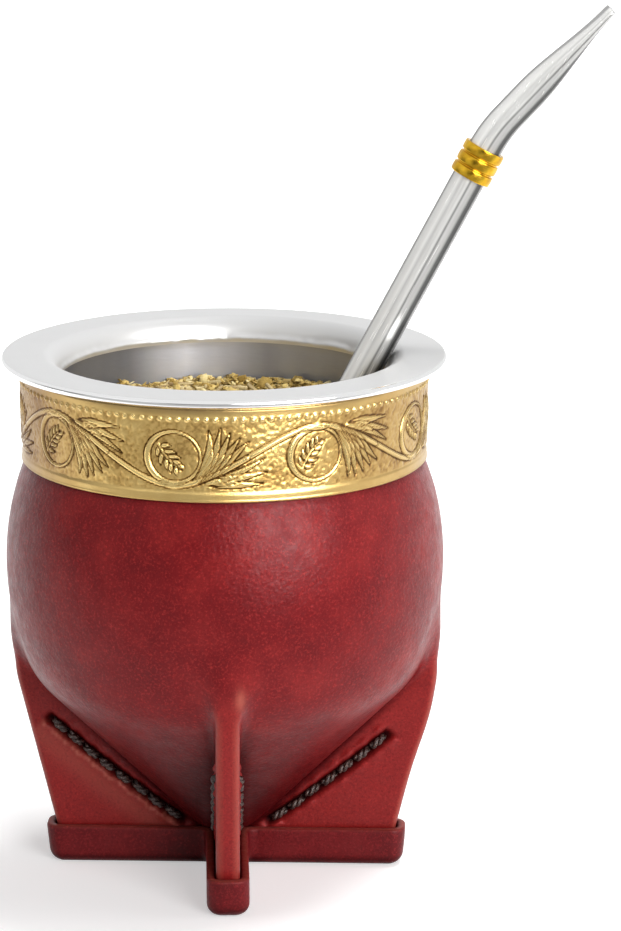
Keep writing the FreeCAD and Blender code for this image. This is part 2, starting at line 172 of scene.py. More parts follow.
def add_mesh(name, points, faces, attributes=None, smooth=True):
    """A mesh object from points in millimetres; an attribute is 0 at points past its last value."""
    mesh = bpy.data.meshes.new(name)
    if isinstance(faces, np.ndarray):
        faces = faces.tolist()
    mesh.from_pydata((np.asarray(points, float) * MM).tolist(), [], faces)
    for key, values in (attributes or {}).items():
        filled = np.zeros(len(points), np.float32)
        filled[:np.size(values)] = np.ravel(values)
        mesh.attributes.new(key, "FLOAT", "POINT").data.foreach_set("value", filled)
    mesh.polygons.foreach_set("use_smooth", [smooth] * len(mesh.polygons))
    mesh.update()
    piece = bpy.data.objects.new(name, mesh)
    bpy.context.scene.collection.objects.link(piece)
    return piece


def grid_faces(rows, columns, wrap_rows=False):
    """Quads of a grid of points that was stored row by row; each row is a closed ring."""
    i, j = np.meshgrid(np.arange(rows if wrap_rows else rows - 1), np.arange(columns), indexing="ij")
    up, right = (i + 1) % rows, (j + 1) % columns
    quads = np.stack([i * columns + j, i * columns + right, up * columns + right, up * columns + j], -1)
    return quads.reshape(-1, 4)


def capped(rings):
    """Points and faces of a closed skin through rings [row, column, xyz], with a fan at each end."""
    rows, columns = rings.shape[:2]
    points = np.concatenate([rings.reshape(-1, 3), [rings[0].mean(0)], [rings[-1].mean(0)]])
    faces = grid_faces(rows, columns).tolist()
    first, last = rows * columns, rows * columns + 1
    base = (rows - 1) * columns
    for j in range(columns):
        after = (j + 1) % columns
        faces.append([first, after, j])
        faces.append([last, base + j, base + after])
    return points, faces


def ring_angles(count):
    return np.arange(count) * TAU / count


def around_axis(r, angle, z):
    """Points [..., xyz] from their distances from the cup's axis, their angles and their heights."""
    r, angle, z = np.broadcast_arrays(r, angle, z)
    return np.stack([r * np.cos(angle), r * np.sin(angle), z], -1)


def lathe(profile, columns):
    """Rings [row, column, xyz] of a profile of (r, z) turned about the cup's axis."""
    profile = np.asarray(profile, float)
    return around_axis(profile[:, :1], ring_angles(columns), profile[:, 1:])


def arc_points(centre, radii, start, end, count):
    """Points (x, z) on an arc or a quarter of an ellipse."""
    t = np.linspace(math.radians(start), math.radians(end), count)
    return np.stack([centre[0] + radii[0] * np.cos(t), centre[1] + radii[1] * np.sin(t)], -1)


def placed(piece, mat, slot, *nodes):
    """Gives a finished piece its material and its body, and hides the CAD nodes that it replaces; slot is not
    used.
    """
    if mat is not None:
        piece.data.materials.append(mat)
    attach(piece, "root")
    if nodes:
        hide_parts(*nodes)
    return piece


class Joined:
    """Collects many small closed shapes into one mesh, each point with a tint."""

    def __init__(self):
        self.points, self.faces, self.tints, self.count = [], [], [], 0

    def add(self, points, faces, tint):
        self.points.append(points)
        self.faces += [[i + self.count for i in face] for face in faces]
        self.tints.append(np.full(len(points), tint))
        self.count += len(points)

    def make(self, name):
        return add_mesh(name, np.concatenate(self.points), self.faces, {"tint": np.concatenate(self.tints)})


# ---- Materials ----

def material(name, roughness=0.5, metallic=0.0):
    mat = bpy.data.materials.new(name)
    mat.use_nodes = True
    shader = mat.node_tree.nodes["Principled BSDF"]
    shader.inputs["Roughness"].default_value = roughness
    shader.inputs["Metallic"].default_value = metallic
    return mat, mat.node_tree, shader


def node(tree, kind, inputs=None, **settings):
    """Adds a shader node; an input is a value or another node's output."""
    made = tree.nodes.new(kind)
    for key, value in settings.items():
        setattr(made, key, value)
    for key, value in (inputs or {}).items():
        if isinstance(value, bpy.types.NodeSocket):
            tree.links.new(value, made.inputs[key])
        else:
            made.inputs[key].default_value = value
    return made


def maths(tree, operation, a, b=0.0):
    return node(tree, "ShaderNodeMath", {0: a, 1: b}, operation=operation).outputs[0]


def ramp(tree, factor, stops):
    """Colour ramp over stops of (place, (r, g, b))."""
    made = node(tree, "ShaderNodeValToRGB", {"Fac": factor})
    elements = made.color_ramp.elements
    while len(elements) < len(stops):
        elements.new(0.5)
    for element, (at, colour) in zip(elements, stops):
        element.position = at
        element.color = (*colour, 1)
    return made.outputs["Color"]


def remap(tree, value, low, high, to_low=0.0, to_high=1.0, **settings):
    """Takes values from low..high to to_low..to_high."""
    made = node(tree, "ShaderNodeMapRange", {
        "Value": value, "From Min": low, "From Max": high, "To Min": to_low, "To Max": to_high}, **settings)
    return made.outputs["Result"]


def mix(tree, factor, a, b, kind="MIX"):
    """Mixes two colours."""
    made = node(tree, "ShaderNodeMix", data_type="RGBA", blend_type=kind)
    for slot, value in ((0, factor), (6, a), (7, b)):
        if isinstance(value, bpy.types.NodeSocket):
            tree.links.new(value, made.inputs[slot])
        else:
            made.inputs[slot].default_value = value if slot == 0 else (*value, 1)
    return made.outputs[2]


def object_xyz(tree):
    """The object's own coordinates, in metres, one by one."""
    coordinates = node(tree, "ShaderNodeTexCoord").outputs["Object"]
    return node(tree, "ShaderNodeSeparateXYZ", {"Vector": coordinates}).outputs


def greys(stops, tint=(1, 1, 1)):
    """Stops of a colour ramp from stops of (place, grey)."""
    return [(at, tuple(grey * share for share in tint)) for at, grey in stops]


def place(tree, scale=(1, 1, 1)):
    """The object's own coordinates, stretched."""
    coordinates = node(tree, "ShaderNodeTexCoord").outputs["Object"]
    return node(tree, "ShaderNodeMapping", {"Vector": coordinates, "Scale": scale}).outputs["Vector"]


def grain(tree, feature_mm, detail=4.0, vector=None, roughness=0.55):
    """Noise whose features are about this many millimetres across."""
    return node(tree, "ShaderNodeTexNoise", {
        "Vector": vector or place(tree), "Scale": 1 / (feature_mm * MM), "Detail": detail,
        "Roughness": roughness}).outputs["Fac"]


def cells(tree, feature_mm):
    """Distance from the middle of soft-edged cells, about this many millimetres across."""
    return node(tree, "ShaderNodeTexVoronoi", {
        "Vector": place(tree), "Scale": 1 / (feature_mm * MM)}, feature="SMOOTH_F1").outputs["Distance"]


def attribute(tree, name):
    return node(tree, "ShaderNodeAttribute", attribute_name=name).outputs["Fac"]


def bump(tree, shader, height, depth_mm, normal=None):
    made = node(tree, "ShaderNodeBump", {"Height": height, "Distance": depth_mm * MM, "Strength": 1.0})
    if normal is not None:
        tree.links.new(normal, made.inputs["Normal"])
    tree.links.new(made.outputs["Normal"], shader.inputs["Normal"])
    return made.outputs["Normal"]


def cloudy_roughness(tree, shader, clouds, low, high):
    """Lets a noise set the roughness, from low to high."""
    tree.links.new(remap(tree, clouds, 0.3, 0.7, low, high), shader.inputs["Roughness"])


def leather_material(name, deep, mid, bright, roughness):
    """Oiled leather: mottled colour and pebbled grain, with painted shade in the creases and lower down, and
    lighter edges that are partly wear and partly a painted highlight.
    """
    mat, tree, shader = material(name, roughness)
    mottle = grain(tree, 9.0, 4.0, roughness=0.5)
    speckle = grain(tree, 0.5, 3.0, roughness=0.7)
    tone = ramp(tree, mottle, [(0.25, deep), (0.5, mid), (1.0, bright)])
    tone = mix(tree, attribute(tree, "fin"), tone, bright)
    freckles = remap(tree, speckle, 0.5, 0.68, 0.0, 0.65)
    tone = mix(tree, freckles, tone, tuple(1.3 * value for value in bright))
    pores = remap(tree, grain(tree, 0.42, 2.0), 0.34, 0.48, 0.5, 0.0)
    tone = mix(tree, pores, tone, deep)
    # painted shade: the colour goes towards near black where the mesh marks shade
    tone = mix(tree, attribute(tree, "dark"), tone, (0.012, 0.0015, 0.002))
    # lighter tan: real wear in places, and a painted highlight along the fins' rounded edges
    tone = mix(tree, attribute(tree, "wear_and_highlight"), tone, (0.5, 0.13, 0.09))
    tree.links.new(tone, shader.inputs["Base Color"])
    cloudy_roughness(tree, shader, grain(tree, 2.6, 3.0), roughness - 0.07, roughness + 0.09)
    # less gloss where shade is painted
    gloss = remap(tree, attribute(tree, "dark"), 0.0, 0.7, 0.19, 0.02)
    tree.links.new(gloss, shader.inputs["Specular IOR Level"])
    pebble = remap(tree, cells(tree, 0.85), 0.0, 0.8, 1.0, 0.0)
    skin = maths(tree, "ADD", pebble, maths(tree, "MULTIPLY", speckle, 0.8))
    fine = bump(tree, shader, skin, 0.045)
    bump(tree, shader, grain(tree, 6.0, 2.0), 0.12, fine)
    return mat


def thread_material():
    """Dark waxed cord with a fibrous bump, and pale painted glints where its fine noise is high."""
    mat, tree, shader = material("waxed_cord", 0.42)
    fibres = grain(tree, 0.22, 3.0)
    # the palest stop is a painted glint
    tone = ramp(tree, fibres, [
        (0.35, (0.008, 0.003, 0.0025)), (0.55, (0.028, 0.012, 0.01)), (0.68, (0.24, 0.165, 0.13))])
    tree.links.new(tone, shader.inputs["Base Color"])
    bump(tree, shader, fibres, 0.12)
    return mat


def brass_material():
    """Gilded brass with brown patina in the recesses of its relief, and painted shade towards the band's
    sides and top.
    """
    mat, tree, shader = material("embossed_brass", 0.27, 1.0)
    relief = attribute(tree, "relief")
    patches = grain(tree, 8.0, 4.0)
    height = maths(tree, "ADD", relief, remap(tree, patches, 0.3, 0.7, -0.12, 0.12))
    tone = ramp(tree, height, [
        (0.05, (0.06, 0.03, 0.008)), (0.24, (0.29, 0.16, 0.045)),
        (0.42, (0.64, 0.42, 0.14)), (0.75, (0.9, 0.67, 0.27))])
    # painted shade, mixed towards dark brown
    painted_band_shade = remap(tree, attribute(tree, "painted_band_shade"), 0.0, 1.0, 0.0, 0.9)
    tone = mix(tree, painted_band_shade, tone, (0.19, 0.105, 0.055))
    tree.links.new(tone, shader.inputs["Base Color"])
    rough = remap(tree, height, 0.1, 0.8, 0.46, 0.24)
    tree.links.new(rough, shader.inputs["Roughness"])
    bump(tree, shader, grain(tree, 0.3, 2.0), 0.035)
    return mat


def rim_steel(name, grey, metallic, low, high):
    """Steel with the faintest cloudiness; low and high are its least and most roughness."""
    mat, tree, shader = material(name, low, metallic)
    shader.inputs["Base Color"].default_value = (grey, grey, grey, 1)
    clouds = grain(tree, 14.0, 4.0)
    cloudy_roughness(tree, shader, clouds, low, high)
    bump(tree, shader, clouds, 0.02)
    return mat


def sleeve_steel():
    """Inner sleeve: brushed up and down, with a sheen painted from its left to its right."""
    mat, tree, shader = material("sleeve_steel", 0.34, 0.5)
    stripes = grain(tree, 11.0, 2.0, place(tree, (1, 1, 0.03)))
    lines = grain(tree, 0.5, 2.0, place(tree, (0.2, 0.2, 1)))
    fine = maths(tree, "MULTIPLY", maths(tree, "SUBTRACT", lines, 0.5), 0.12)
    both = maths(tree, "ADD", stripes, fine)
    tone = ramp(tree, both, [(0.34, (0.8, 0.805, 0.83)), (0.66, (1.0, 1.0, 1.0))])
    across = remap(tree, object_xyz(tree)["X"], -BORE_R * MM, BORE_R * MM)
    sheen = [(0.0, 0.16), (0.2, 0.24), (0.38, 0.68), (0.5, 0.56), (0.64, 0.37), (1.0, 0.38)]
    sheen = ramp(tree, across, greys(sheen, (1, 1.03, 1.15)))
    tone = mix(tree, 1.0, tone, sheen, "MULTIPLY")
    tree.links.new(tone, shader.inputs["Base Color"])
    bump(tree, shader, lines, 0.03)
    return mat


def straw_steel():
    """Satin steel of the bombilla: fine lines along it, and painted light and dark bands."""
    mat, tree, shader = material("satin_steel", 0.22, 0.45)
    coordinates = node(tree, "ShaderNodeTexCoord").outputs["Object"]
    turned = node(tree, "ShaderNodeMapping", {
        "Vector": coordinates, "Rotation": (0, TUBE_LEAN, 0), "Scale": (1, 1, 33)}, vector_type="TEXTURE")
    lines = grain(tree, 0.3, 2.0, turned.outputs["Vector"])
    tone = ramp(tree, lines, [(0.3, (0.92, 0.915, 0.905)), (0.7, (1.0, 0.995, 0.985))])
    # painted reflection: lighter and darker bands run along the tube, round its sides
    bands = [(0.0, 0.1), (0.05, 0.85), (0.2, 0.95), (0.29, 0.68), (0.36, 0.97), (0.47, 0.9), (0.53, 0.25),
             (0.58, 0.72), (0.70, 0.56), (0.78, 0.1), (0.88, 0.04), (0.94, 0.36), (1.0, 0.24)]
    bands = ramp(tree, attribute(tree, "around"), greys(bands, (1, 1, 0.985)))
    tone = mix(tree, 1.0, tone, bands, "MULTIPLY")
    tree.links.new(tone, shader.inputs["Base Color"])
    cloudy_roughness(tree, shader, lines, 0.16, 0.28)
    bump(tree, shader, lines, 0.003)
    return mat


def collar_brass():
    mat, tree, shader = material("collar_brass", 0.2, 1.0)
    wear = grain(tree, 2.0, 3.0)
    tone = ramp(tree, wear, [(0.3, (0.52, 0.28, 0.015)), (0.7, (0.8, 0.5, 0.04))])
    tree.links.new(tone, shader.inputs["Base Color"])
    cloudy_roughness(tree, shader, wear, 0.14, 0.27)
    bump(tree, shader, wear, 0.015)
    return mat


def yerba_material(name, stops):
    """Dried leaf and stalk: each piece has its own tint, and fine veins over it."""
    mat, tree, shader = material(name, 0.72)
    veins = grain(tree, 0.5, 3.0)
    tint = maths(tree, "ADD", attribute(tree, "tint"), remap(tree, veins, 0.3, 0.7, -0.1, 0.1))
    tree.links.new(ramp(tree, tint, stops), shader.inputs["Base Color"])
    bump(tree, shader, veins, 0.08)
    return mat


def gourd_material():
    mat, tree, shader = material("gourd", 0.6)
    rind = grain(tree, 6.0, 5.0)
    tone = ramp(tree, rind, [(0.3, (0.16, 0.085, 0.035)), (0.7, (0.36, 0.22, 0.1))])
    tree.links.new(tone, shader.inputs["Base Color"])
    bump(tree, shader, rind, 0.2)
    return mat


# ---- The body's and the fins' outlines ----

def body_radius(z, inset=0.0):
    """Radius of the body at height z; under its tip a negative number that grows with the gap."""
    z = np.asarray(z, float)
    belly, turn, tip = BELLY_ARC - inset, TURN_ARC - inset, TIP_ARC - inset
    turn_top, turn_low = TURN_Z - turn * math.sin(TURN_START), TURN_Z - turn * math.sin(CONE)
    cone_low = TIP_Z - tip * math.sin(CONE)
    on_belly = BELLY_X + np.sqrt(np.clip(belly**2 - (z - BELLY_Z) ** 2, 0, None))
    on_turn = TURN_X + np.sqrt(np.clip(turn**2 - (z - TURN_Z) ** 2, 0, None))
    on_cone = tip * math.cos(CONE) + (z - cone_low) * math.tan(CONE)
    on_tip = np.sqrt(np.clip(tip**2 - (z - TIP_Z) ** 2, 0, None))
    neck = NECK_R - inset + NECK_FLARE * (z - NECK_Z) / (BAND_TOP - NECK_Z)
    return np.select([z > NECK_Z, z < TIP_Z - tip, z >= turn_top, z >= turn_low, z >= cone_low],
                     [neck, z - (TIP_Z - tip), on_belly, on_turn, on_cone], on_tip)


def fin_reach(z, side):
    """How far a fin's outer edge is from the axis at height z."""
    straight = EDGE_R - (EDGE_Z - z) * math.tan(FIN_LEAN)
    arc = SHOULDER_R - SHOULDER_ARC + np.sqrt(np.clip(SHOULDER_ARC**2 - (z - SHOULDER_Z) ** 2, 0, None))
    reach = np.where(z < EDGE_Z, straight, arc)
    if side == "right":
        reach = reach + RIGHT_BULGE * bell(z - BULGE_Z, BULGE_WIDTH)
    return reach


def stitch_row(side):
    """Centre, radius, start angle and sweep, in a fin's own plane, of the arc its stitches follow."""
    low = SOLE_H + ROW_START_RISE
    high = SOLE_H + ROW_HEIGHT[side]
    cone_z = TIP_Z - TIP_ARC * math.sin(CONE)

    def at(z, out):
        return TIP_ARC * math.cos(CONE) + ((z - cone_z) * math.sin(CONE) + out) / math.cos(CONE), z

    (ax, az), (bx, bz), (cx, cz) = (at(z, out) for z, out in zip((low, (low + high) / 2, high), ROW_OUT))
    d = 2 * (ax * (bz - cz) + bx * (cz - az) + cx * (az - bz))
    a2, b2, c2 = ax**2 + az**2, bx**2 + bz**2, cx**2 + cz**2
    x = (a2 * (bz - cz) + b2 * (cz - az) + c2 * (az - bz)) / d
    z = (a2 * (cx - bx) + b2 * (ax - cx) + c2 * (bx - ax)) / d
    start = math.atan2(az - z, ax - x)
    sweep = (math.atan2(cz - z, cx - x) - start + math.pi) % TAU - math.pi
    return (x, z), math.hypot(ax - x, az - z), start, sweep


def row_place(side, x, z):
    """Distance along a fin's row of stitches, distance off it, and the row's length."""
    centre, radius, start, sweep = stitch_row(side)
    angle = np.arctan2(z - centre[1], x - centre[0])
    turn = np.mod(angle - start + math.pi, TAU) - math.pi
    along = turn * math.copysign(radius, sweep)
    off = (np.hypot(x - centre[0], z - centre[1]) - radius) * math.copysign(1, -sweep)
    return along, off, abs(sweep) * radius


def fin_relief(side, x, z, face):
    """How far a fin's face stands out of its plane beside its stitches: groove, lips and holes."""
    along, off, length = row_place(side, x, z)
    seed = list(FIN_TURN).index(side) * 2 + (face > 0)
    steps = round(length / STITCH_PITCH)
    pitch = length / steps
    window = between(along, -0.6, length + 0.6, 1.6)
    wobble = noise(along * 0.9 + 40, off * 0 + seed, seed + 3)
    ragged = 1.15 + 0.28 * noise(along * 1.1 + 80, off * 0 + seed, seed + 5)
    groove = -GROOVE_DEPTH * np.exp(-((np.abs(off) / ragged) ** 4))
    low_lip = (0.42 if side == "left" else 0.231) * (1 + 0.6 * wobble)
    lips = low_lip * bell(off + 1.95, 0.6) + 0.3 * (1 - 0.5 * wobble) * bell(off - 1.9, 0.6)
    phase = np.mod(along + pitch / 2, pitch) - pitch / 2
    holes = -0.55 * bell(phase, 0.55) * bell(off, 0.8)
    pucker = 0.22 * np.cos(along / pitch * TAU) * bell(np.abs(off) - 1.7, 0.8)
    return window * (groove + lips + holes + pucker)


def to_fin(side, x, y):
    """Distances along a fin's middle plane and across it."""
    turn = math.radians(FIN_TURN[side])
    return x * math.cos(turn) + y * math.sin(turn), -x * math.sin(turn) + y * math.cos(turn)


def from_fin(side, along, across):
    """Level position of a place that is given along and across a fin's middle plane."""
    turn = math.radians(FIN_TURN[side])
    return along * math.cos(turn) - across * math.sin(turn), along * math.sin(turn) + across * math.cos(turn)


def bar_distance(along, across, reach, half, rounding):
    """Signed distance from the outline of a bar with rounded corners at its end."""
    qx, qy = along - (reach - rounding), np.abs(across) - (half - rounding)
    return np.hypot(np.maximum(qx, 0), np.maximum(qy, 0)) + np.minimum(np.maximum(qx, qy), 0) - rounding


def fin_distance(side, px, py, z):
    """Signed distance from a fin's outline in the level plane at height z."""
    along, across = to_fin(side, px, py)
    box = bar_distance(along, across, fin_reach(z, side), LEATHER_T, FIN_ROUND)
    return np.where(along < 0, np.hypot(along, across) - LEATHER_T, box)


def blend_width(z):
    """Width over which a fin runs into the body: a crease low down, a soft flare at the top."""
    return 1.3 + 5.2 * smooth_step(z, 36, 52)


def cover_distance(px, py, z):
    fins = None
    for side in FIN_TURN:
        d = fin_distance(side, px, py, z)
        fins = d if fins is None else smooth_min(fins, d, 0.8)
    body = np.hypot(px, py) - body_radius(z)
    return smooth_min(body, fins, blend_width(z)), body, fins


def outline_directions(z, count, reach_of, half, radius):
    """Angles of count points round a cross-section, closer together where it bends.

    Each quarter runs from one fin's middle to the next: end, flank, and the body's arc between.
    """
    angles = []
    names = list(FIN_TURN)
    for k, side in enumerate(names):
        after = names[(k + 1) % len(names)]
        a0, a1 = math.radians(FIN_TURN[side]), math.radians(FIN_TURN[after])
        a1 = a1 + TAU if a1 < a0 else a1
        runs = []
        for name, sign in ((side, 1), (after, -1)):
            reach = float(reach_of(z, name))
            root = math.sqrt(max(radius**2 - half**2, 0)) if radius > half else half * 1.1
            root = max(root, half * 1.1)
            if reach > root + 0.3:
                end = np.stack([np.full(14, reach), np.linspace(0, half, 14)], -1)
                flank = np.stack([np.linspace(reach, root, 90), np.full(90, half)], -1)
                run = np.concatenate([end, flank[1:]])
            else:
                run = np.array([[max(reach, radius), 0.0], [root, half]])
            base = a0 if sign > 0 else a1
            runs.append((base + sign * np.arctan2(run[:, 1], run[:, 0]), np.hypot(run[:, 0], run[:, 1])))
        (first, first_r), (last, last_r) = runs[0], (runs[1][0][::-1], runs[1][1][::-1])
        middle = np.linspace(first[-1], last[0], 60)[1:-1]
        angle = np.concatenate([first, middle, last])
        r = np.concatenate([first_r, np.linspace(first_r[-1], last_r[0], 60)[1:-1], last_r])
        x, y = r * np.cos(angle), r * np.sin(angle)
        heading = np.unwrap(np.arctan2(np.diff(y), np.diff(x)))
        turning = np.abs(np.concatenate([[0], np.diff(heading)]))
        step = np.hypot(np.diff(x), np.diff(y)) + 2.2 * turning
        total = np.concatenate([[0], np.cumsum(step)])
        share = np.linspace(0, total[-1], count // 4 + 1)[:-1]
        angles.append(np.interp(share, total, angle))
    return np.concatenate(angles)


def solve_ring(distance, angles, z, reach=60.0):
    """Radius at which each ray from the axis leaves a shape, by halving."""
    low, high = np.zeros_like(angles), np.full_like(angles, reach)
    c, s = np.cos(angles), np.sin(angles)
    for _ in range(22):
        middle = (low + high) / 2
        outside = distance(middle * c, middle * s, z) > 0
        high = np.where(outside, middle, high)
        low = np.where(outside, low, middle)
    return low


# ---- Leather ----

COVER_COLUMNS = 512
FIN_TOP, FIN_END = 34, 58     # heights where a fin's upper part starts, and where it has run out


def cover_directions(levels):
    """Angles of the cover's columns [level, column], dense where the skin bends."""
    angles = np.stack([outline_directions(z, COVER_COLUMNS, fin_reach, LEATHER_T, float(body_radius(z)))
                       for z in levels])
    # near the fins' tops the columns shift only slowly from row to row
    spread = 10
    padded = np.pad(angles, ((spread, spread), (0, 0)), "edge")
    even = np.mean([padded[k:k + len(levels)] for k in range(2 * spread + 1)], axis=0)
    return angles + smooth_step(levels, FIN_TOP, FIN_TOP + 8)[:, None] * (even - angles)


def make_cover(mat):
    """The leather cover: body and four fins as one skin, with an inner face against the gourd."""
    levels = np.concatenate([
        np.linspace(SOLE_FLOOR, SOLE_H - 0.6, 5)[:-1], np.linspace(SOLE_H - 0.6, FIN_TOP, 64)[:-1],
        np.linspace(FIN_TOP, FIN_END, 42)[:-1], np.linspace(FIN_END, NECK_Z, 44)[:-1],
        np.linspace(NECK_Z, COVER_TOP, 4)])
    angles = cover_directions(levels)
    z = np.repeat(levels[:, None], COVER_COLUMNS, 1)
    r = solve_ring(lambda x, y, h: cover_distance(x, y, h)[0], angles, z)
    x, y = r * np.cos(angles), r * np.sin(angles)
    _, body, fins = cover_distance(x, y, z)
    lumps = 0.10 * noise(angles * 9 / TAU * 3 + 5, z / 16, 5, 27) * smooth_step(z, 40, 60)
    r = r + lumps * smooth_step(NECK_Z - z, 1, 8)
    r = r - 0.12 * smooth_step(z, NECK_Z - 0.4, NECK_Z)
    x, y = r * np.cos(angles), r * np.sin(angles)

    # painted shade: in the crease where each fin meets the body, darker lower down on the body away from the
    # fins, and just under the band
    crease = bell(body, 2.2) * bell(fins, 2.2) * smooth_step(-z, -46, -30)
    low_shade = 0.62 * smooth_step(-z, -46, -14) * smooth_step(fins, 0.4, 4.0)
    dark = np.clip(0.8 * crease + low_shade + 0.35 * smooth_step(z, NECK_Z - 1.2, NECK_Z), 0, 0.85)
    wear_and_highlight = np.zeros_like(z)
    fin_part = 0.62 * smooth_step(body - fins, 0.3, 2.5)
    for side in FIN_TURN:
        along, across = to_fin(side, x, y)
        on_fin = (along > 0) & (np.abs(across) < LEATHER_T + 1.2) & (fins < body + 0.3)
        row, off, length = row_place(side, along, z)
        in_row = between(row, -0.6, length + 0.6, 1.4)
        # painted shade in the stitch groove
        groove = in_row * np.exp(-((off / 1.25) ** 4)) * on_fin * (np.abs(across) > 1.2)
        dark = np.maximum(dark, 0.97 * groove)
        # a painted highlight along each fin's rounded edge
        edge = bell(fin_reach(z, side) - 0.45 - along, 0.45) * (np.abs(across) > 1.0) * on_fin
        wear_and_highlight = np.maximum(wear_and_highlight, 0.30 * edge * smooth_step(-z, -48, -40))
        # the groove, its lips and the holes are pressed into the face, square to the fin
        face = np.sign(across)
        relief = np.where(face > 0, fin_relief(side, along, z, 1), fin_relief(side, along, z, -1))
        relief = relief * (along > 0) * smooth_step(np.abs(across), 1.6, 2.3)
        relief = relief * smooth_step(-np.abs(across), -4.5, -3.2)
        push_x, push_y = from_fin(side, 0, relief * face)
        x, y = x + push_x, y + push_y
        if side == "left":
            ragged = off + 0.3 * noise(row * 1.1, off * 0, 8)
            lip = in_row * bell(ragged + 1.8, 0.5) * on_fin * (0.65 + 0.35 * noise(row * 1.9, off * 0, 9))
            wear_and_highlight = np.maximum(wear_and_highlight, 0.85 * lip)
            rubbed = in_row * bell(off + 4.0, 2.6) * on_fin * (off < -1.5)
            wear_and_highlight = np.maximum(wear_and_highlight, 0.22 * rubbed)
        if side == "front":
            wear_and_highlight = np.maximum(wear_and_highlight, 0.55 * bell(across - 2.6, 1.0) * bell(z - 48.5, 2.2) * (along > 30))

    outer = np.stack([x, y, z], -1)
    tip_turn = np.linspace(math.radians(50), math.radians(4), 8)
    in_tip = TIP_Z - (TIP_ARC - LEATHER_T) * np.cos(tip_turn)
    depths = np.concatenate([np.linspace(COVER_TOP, 20, 30), in_tip])
    inner_r = np.maximum(body_radius(depths, LEATHER_T), 0.3)
    inner = around_axis(inner_r[:, None], angles[-1], depths[:, None])
    points, faces = capped(np.concatenate([outer, inner]))
    piece = add_mesh("cover", points, faces, {"dark": dark, "wear_and_highlight": wear_and_highlight, "fin": fin_part})
    return placed(piece, mat, "cover_leather", "leather_cover")


SOLE_COLUMNS = 400
SOLE_WALL = 1.85
SOLE_FLARE = math.radians(6.0)
SOLE_ROUND = 3.0
ARM_OUT = EDGE_R - (EDGE_Z - SOLE_H) * math.tan(FIN_LEAN) + 0.25 + SOLE_WALL / math.cos(SOLE_FLARE)
ARM_HALF = LEATHER_T + 0.1 + SOLE_WALL


def sole_distance(px, py, z):
    """Signed distance from the sole's outer outline, a cross of two bars with rounded ends."""
    arm = ARM_OUT - (SOLE_H - z) * math.tan(SOLE_FLARE)
    bars = None
    for side in ("right", "back"):
        along, across = to_fin(side, px, py)
        d = bar_distance(np.abs(along), across, arm, ARM_HALF, SOLE_ROUND)
        bars = d if bars is None else smooth_min(bars, d, 2.4)
    return bars


def make_sole(mat):
    """The tray under the fins: floor, rounded lower edge, walls with a burnished top edge."""
    lip = 0.62
    section = np.concatenate([
        arc_points((2.6, 2.6), (2.6, 2.6), 270, 180, 9),
        [[0.0, 4.2], [0.0, 5.6], [0.0, 6.8]],
        arc_points((lip, SOLE_H - lip), (lip, lip), 180, 90, 6),
        arc_points((SOLE_WALL - lip, SOLE_H - lip), (lip, lip), 90, 0, 6),
        [[SOLE_WALL, 6.4], [SOLE_WALL, 4.6], [SOLE_WALL, SOLE_FLOOR + 0.5], [SOLE_WALL + 0.5, SOLE_FLOOR]]])
    rings, dark, wear_and_highlight = [], [], []
    for inset, z in section:
        angles = outline_directions(z, SOLE_COLUMNS, lambda h, name: ARM_OUT - inset, ARM_HALF - inset, 0.0)
        level = np.full_like(angles, z)
        r = solve_ring(lambda x, y, h: sole_distance(x, y, h) + inset, angles, level)
        wave = noise(angles / TAU * 22, level * 0 + 2, 11, 22)
        top = smooth_step(level, 5.0, SOLE_H)
        # hand-cut: the top edge rises and falls a little, the wall leans in and out
        r = r - 0.10 * (wave + 1) * top * smooth_step(r, 5, 12)
        height = level - 0.12 * (noise(angles / TAU * 16, level * 0 + 9, 12, 16) + 1) * top
        rings.append(around_axis(r, angles, height))
        # painted shade: along the lower edge next to the floor, over the tray's inner walls, and towards the
        # middle under the cup
        seam = bell(z - 1.3, 0.8)
        inside = smooth_step(np.full_like(angles, inset), 1.0, SOLE_WALL)
        dark.append(np.clip(0.5 * seam + 0.85 * inside + 0.35 * smooth_step(-r, -12, -5), 0, 0.9))
        wear_and_highlight.append(np.full_like(angles, 0.34 * bell(inset - 0.75, 0.5) * (z > SOLE_H - 0.5)))
    points, faces = capped(np.array(rings))
    piece = add_mesh("sole", points, faces, {"dark": dark, "wear_and_highlight": wear_and_highlight})
    return placed(piece, mat, "sole_leather", "leather_sole")


# ---- Stitches ----

def tube_rings(path, radius, sides=8):
    """Rings round a path of points [n, xyz]; radius is one value for each point."""
    way = np.gradient(path, axis=0)
    way /= np.linalg.norm(way, axis=1, keepdims=True)
    guide = np.array([0.0, 0.0, 1.0]) if abs(way[0, 2]) < 0.9 else np.array([1.0, 0.0, 0.0])
    rings = []
    for here, forward, size in zip(path, way, radius):
        side = np.cross(forward, guide)
        side /= np.linalg.norm(side)
        up = np.cross(side, forward)
        guide = up
        turn = ring_angles(sides)[:, None]
        rings.append(here + size * (np.cos(turn) * side + np.sin(turn) * up))
    return np.array(rings)


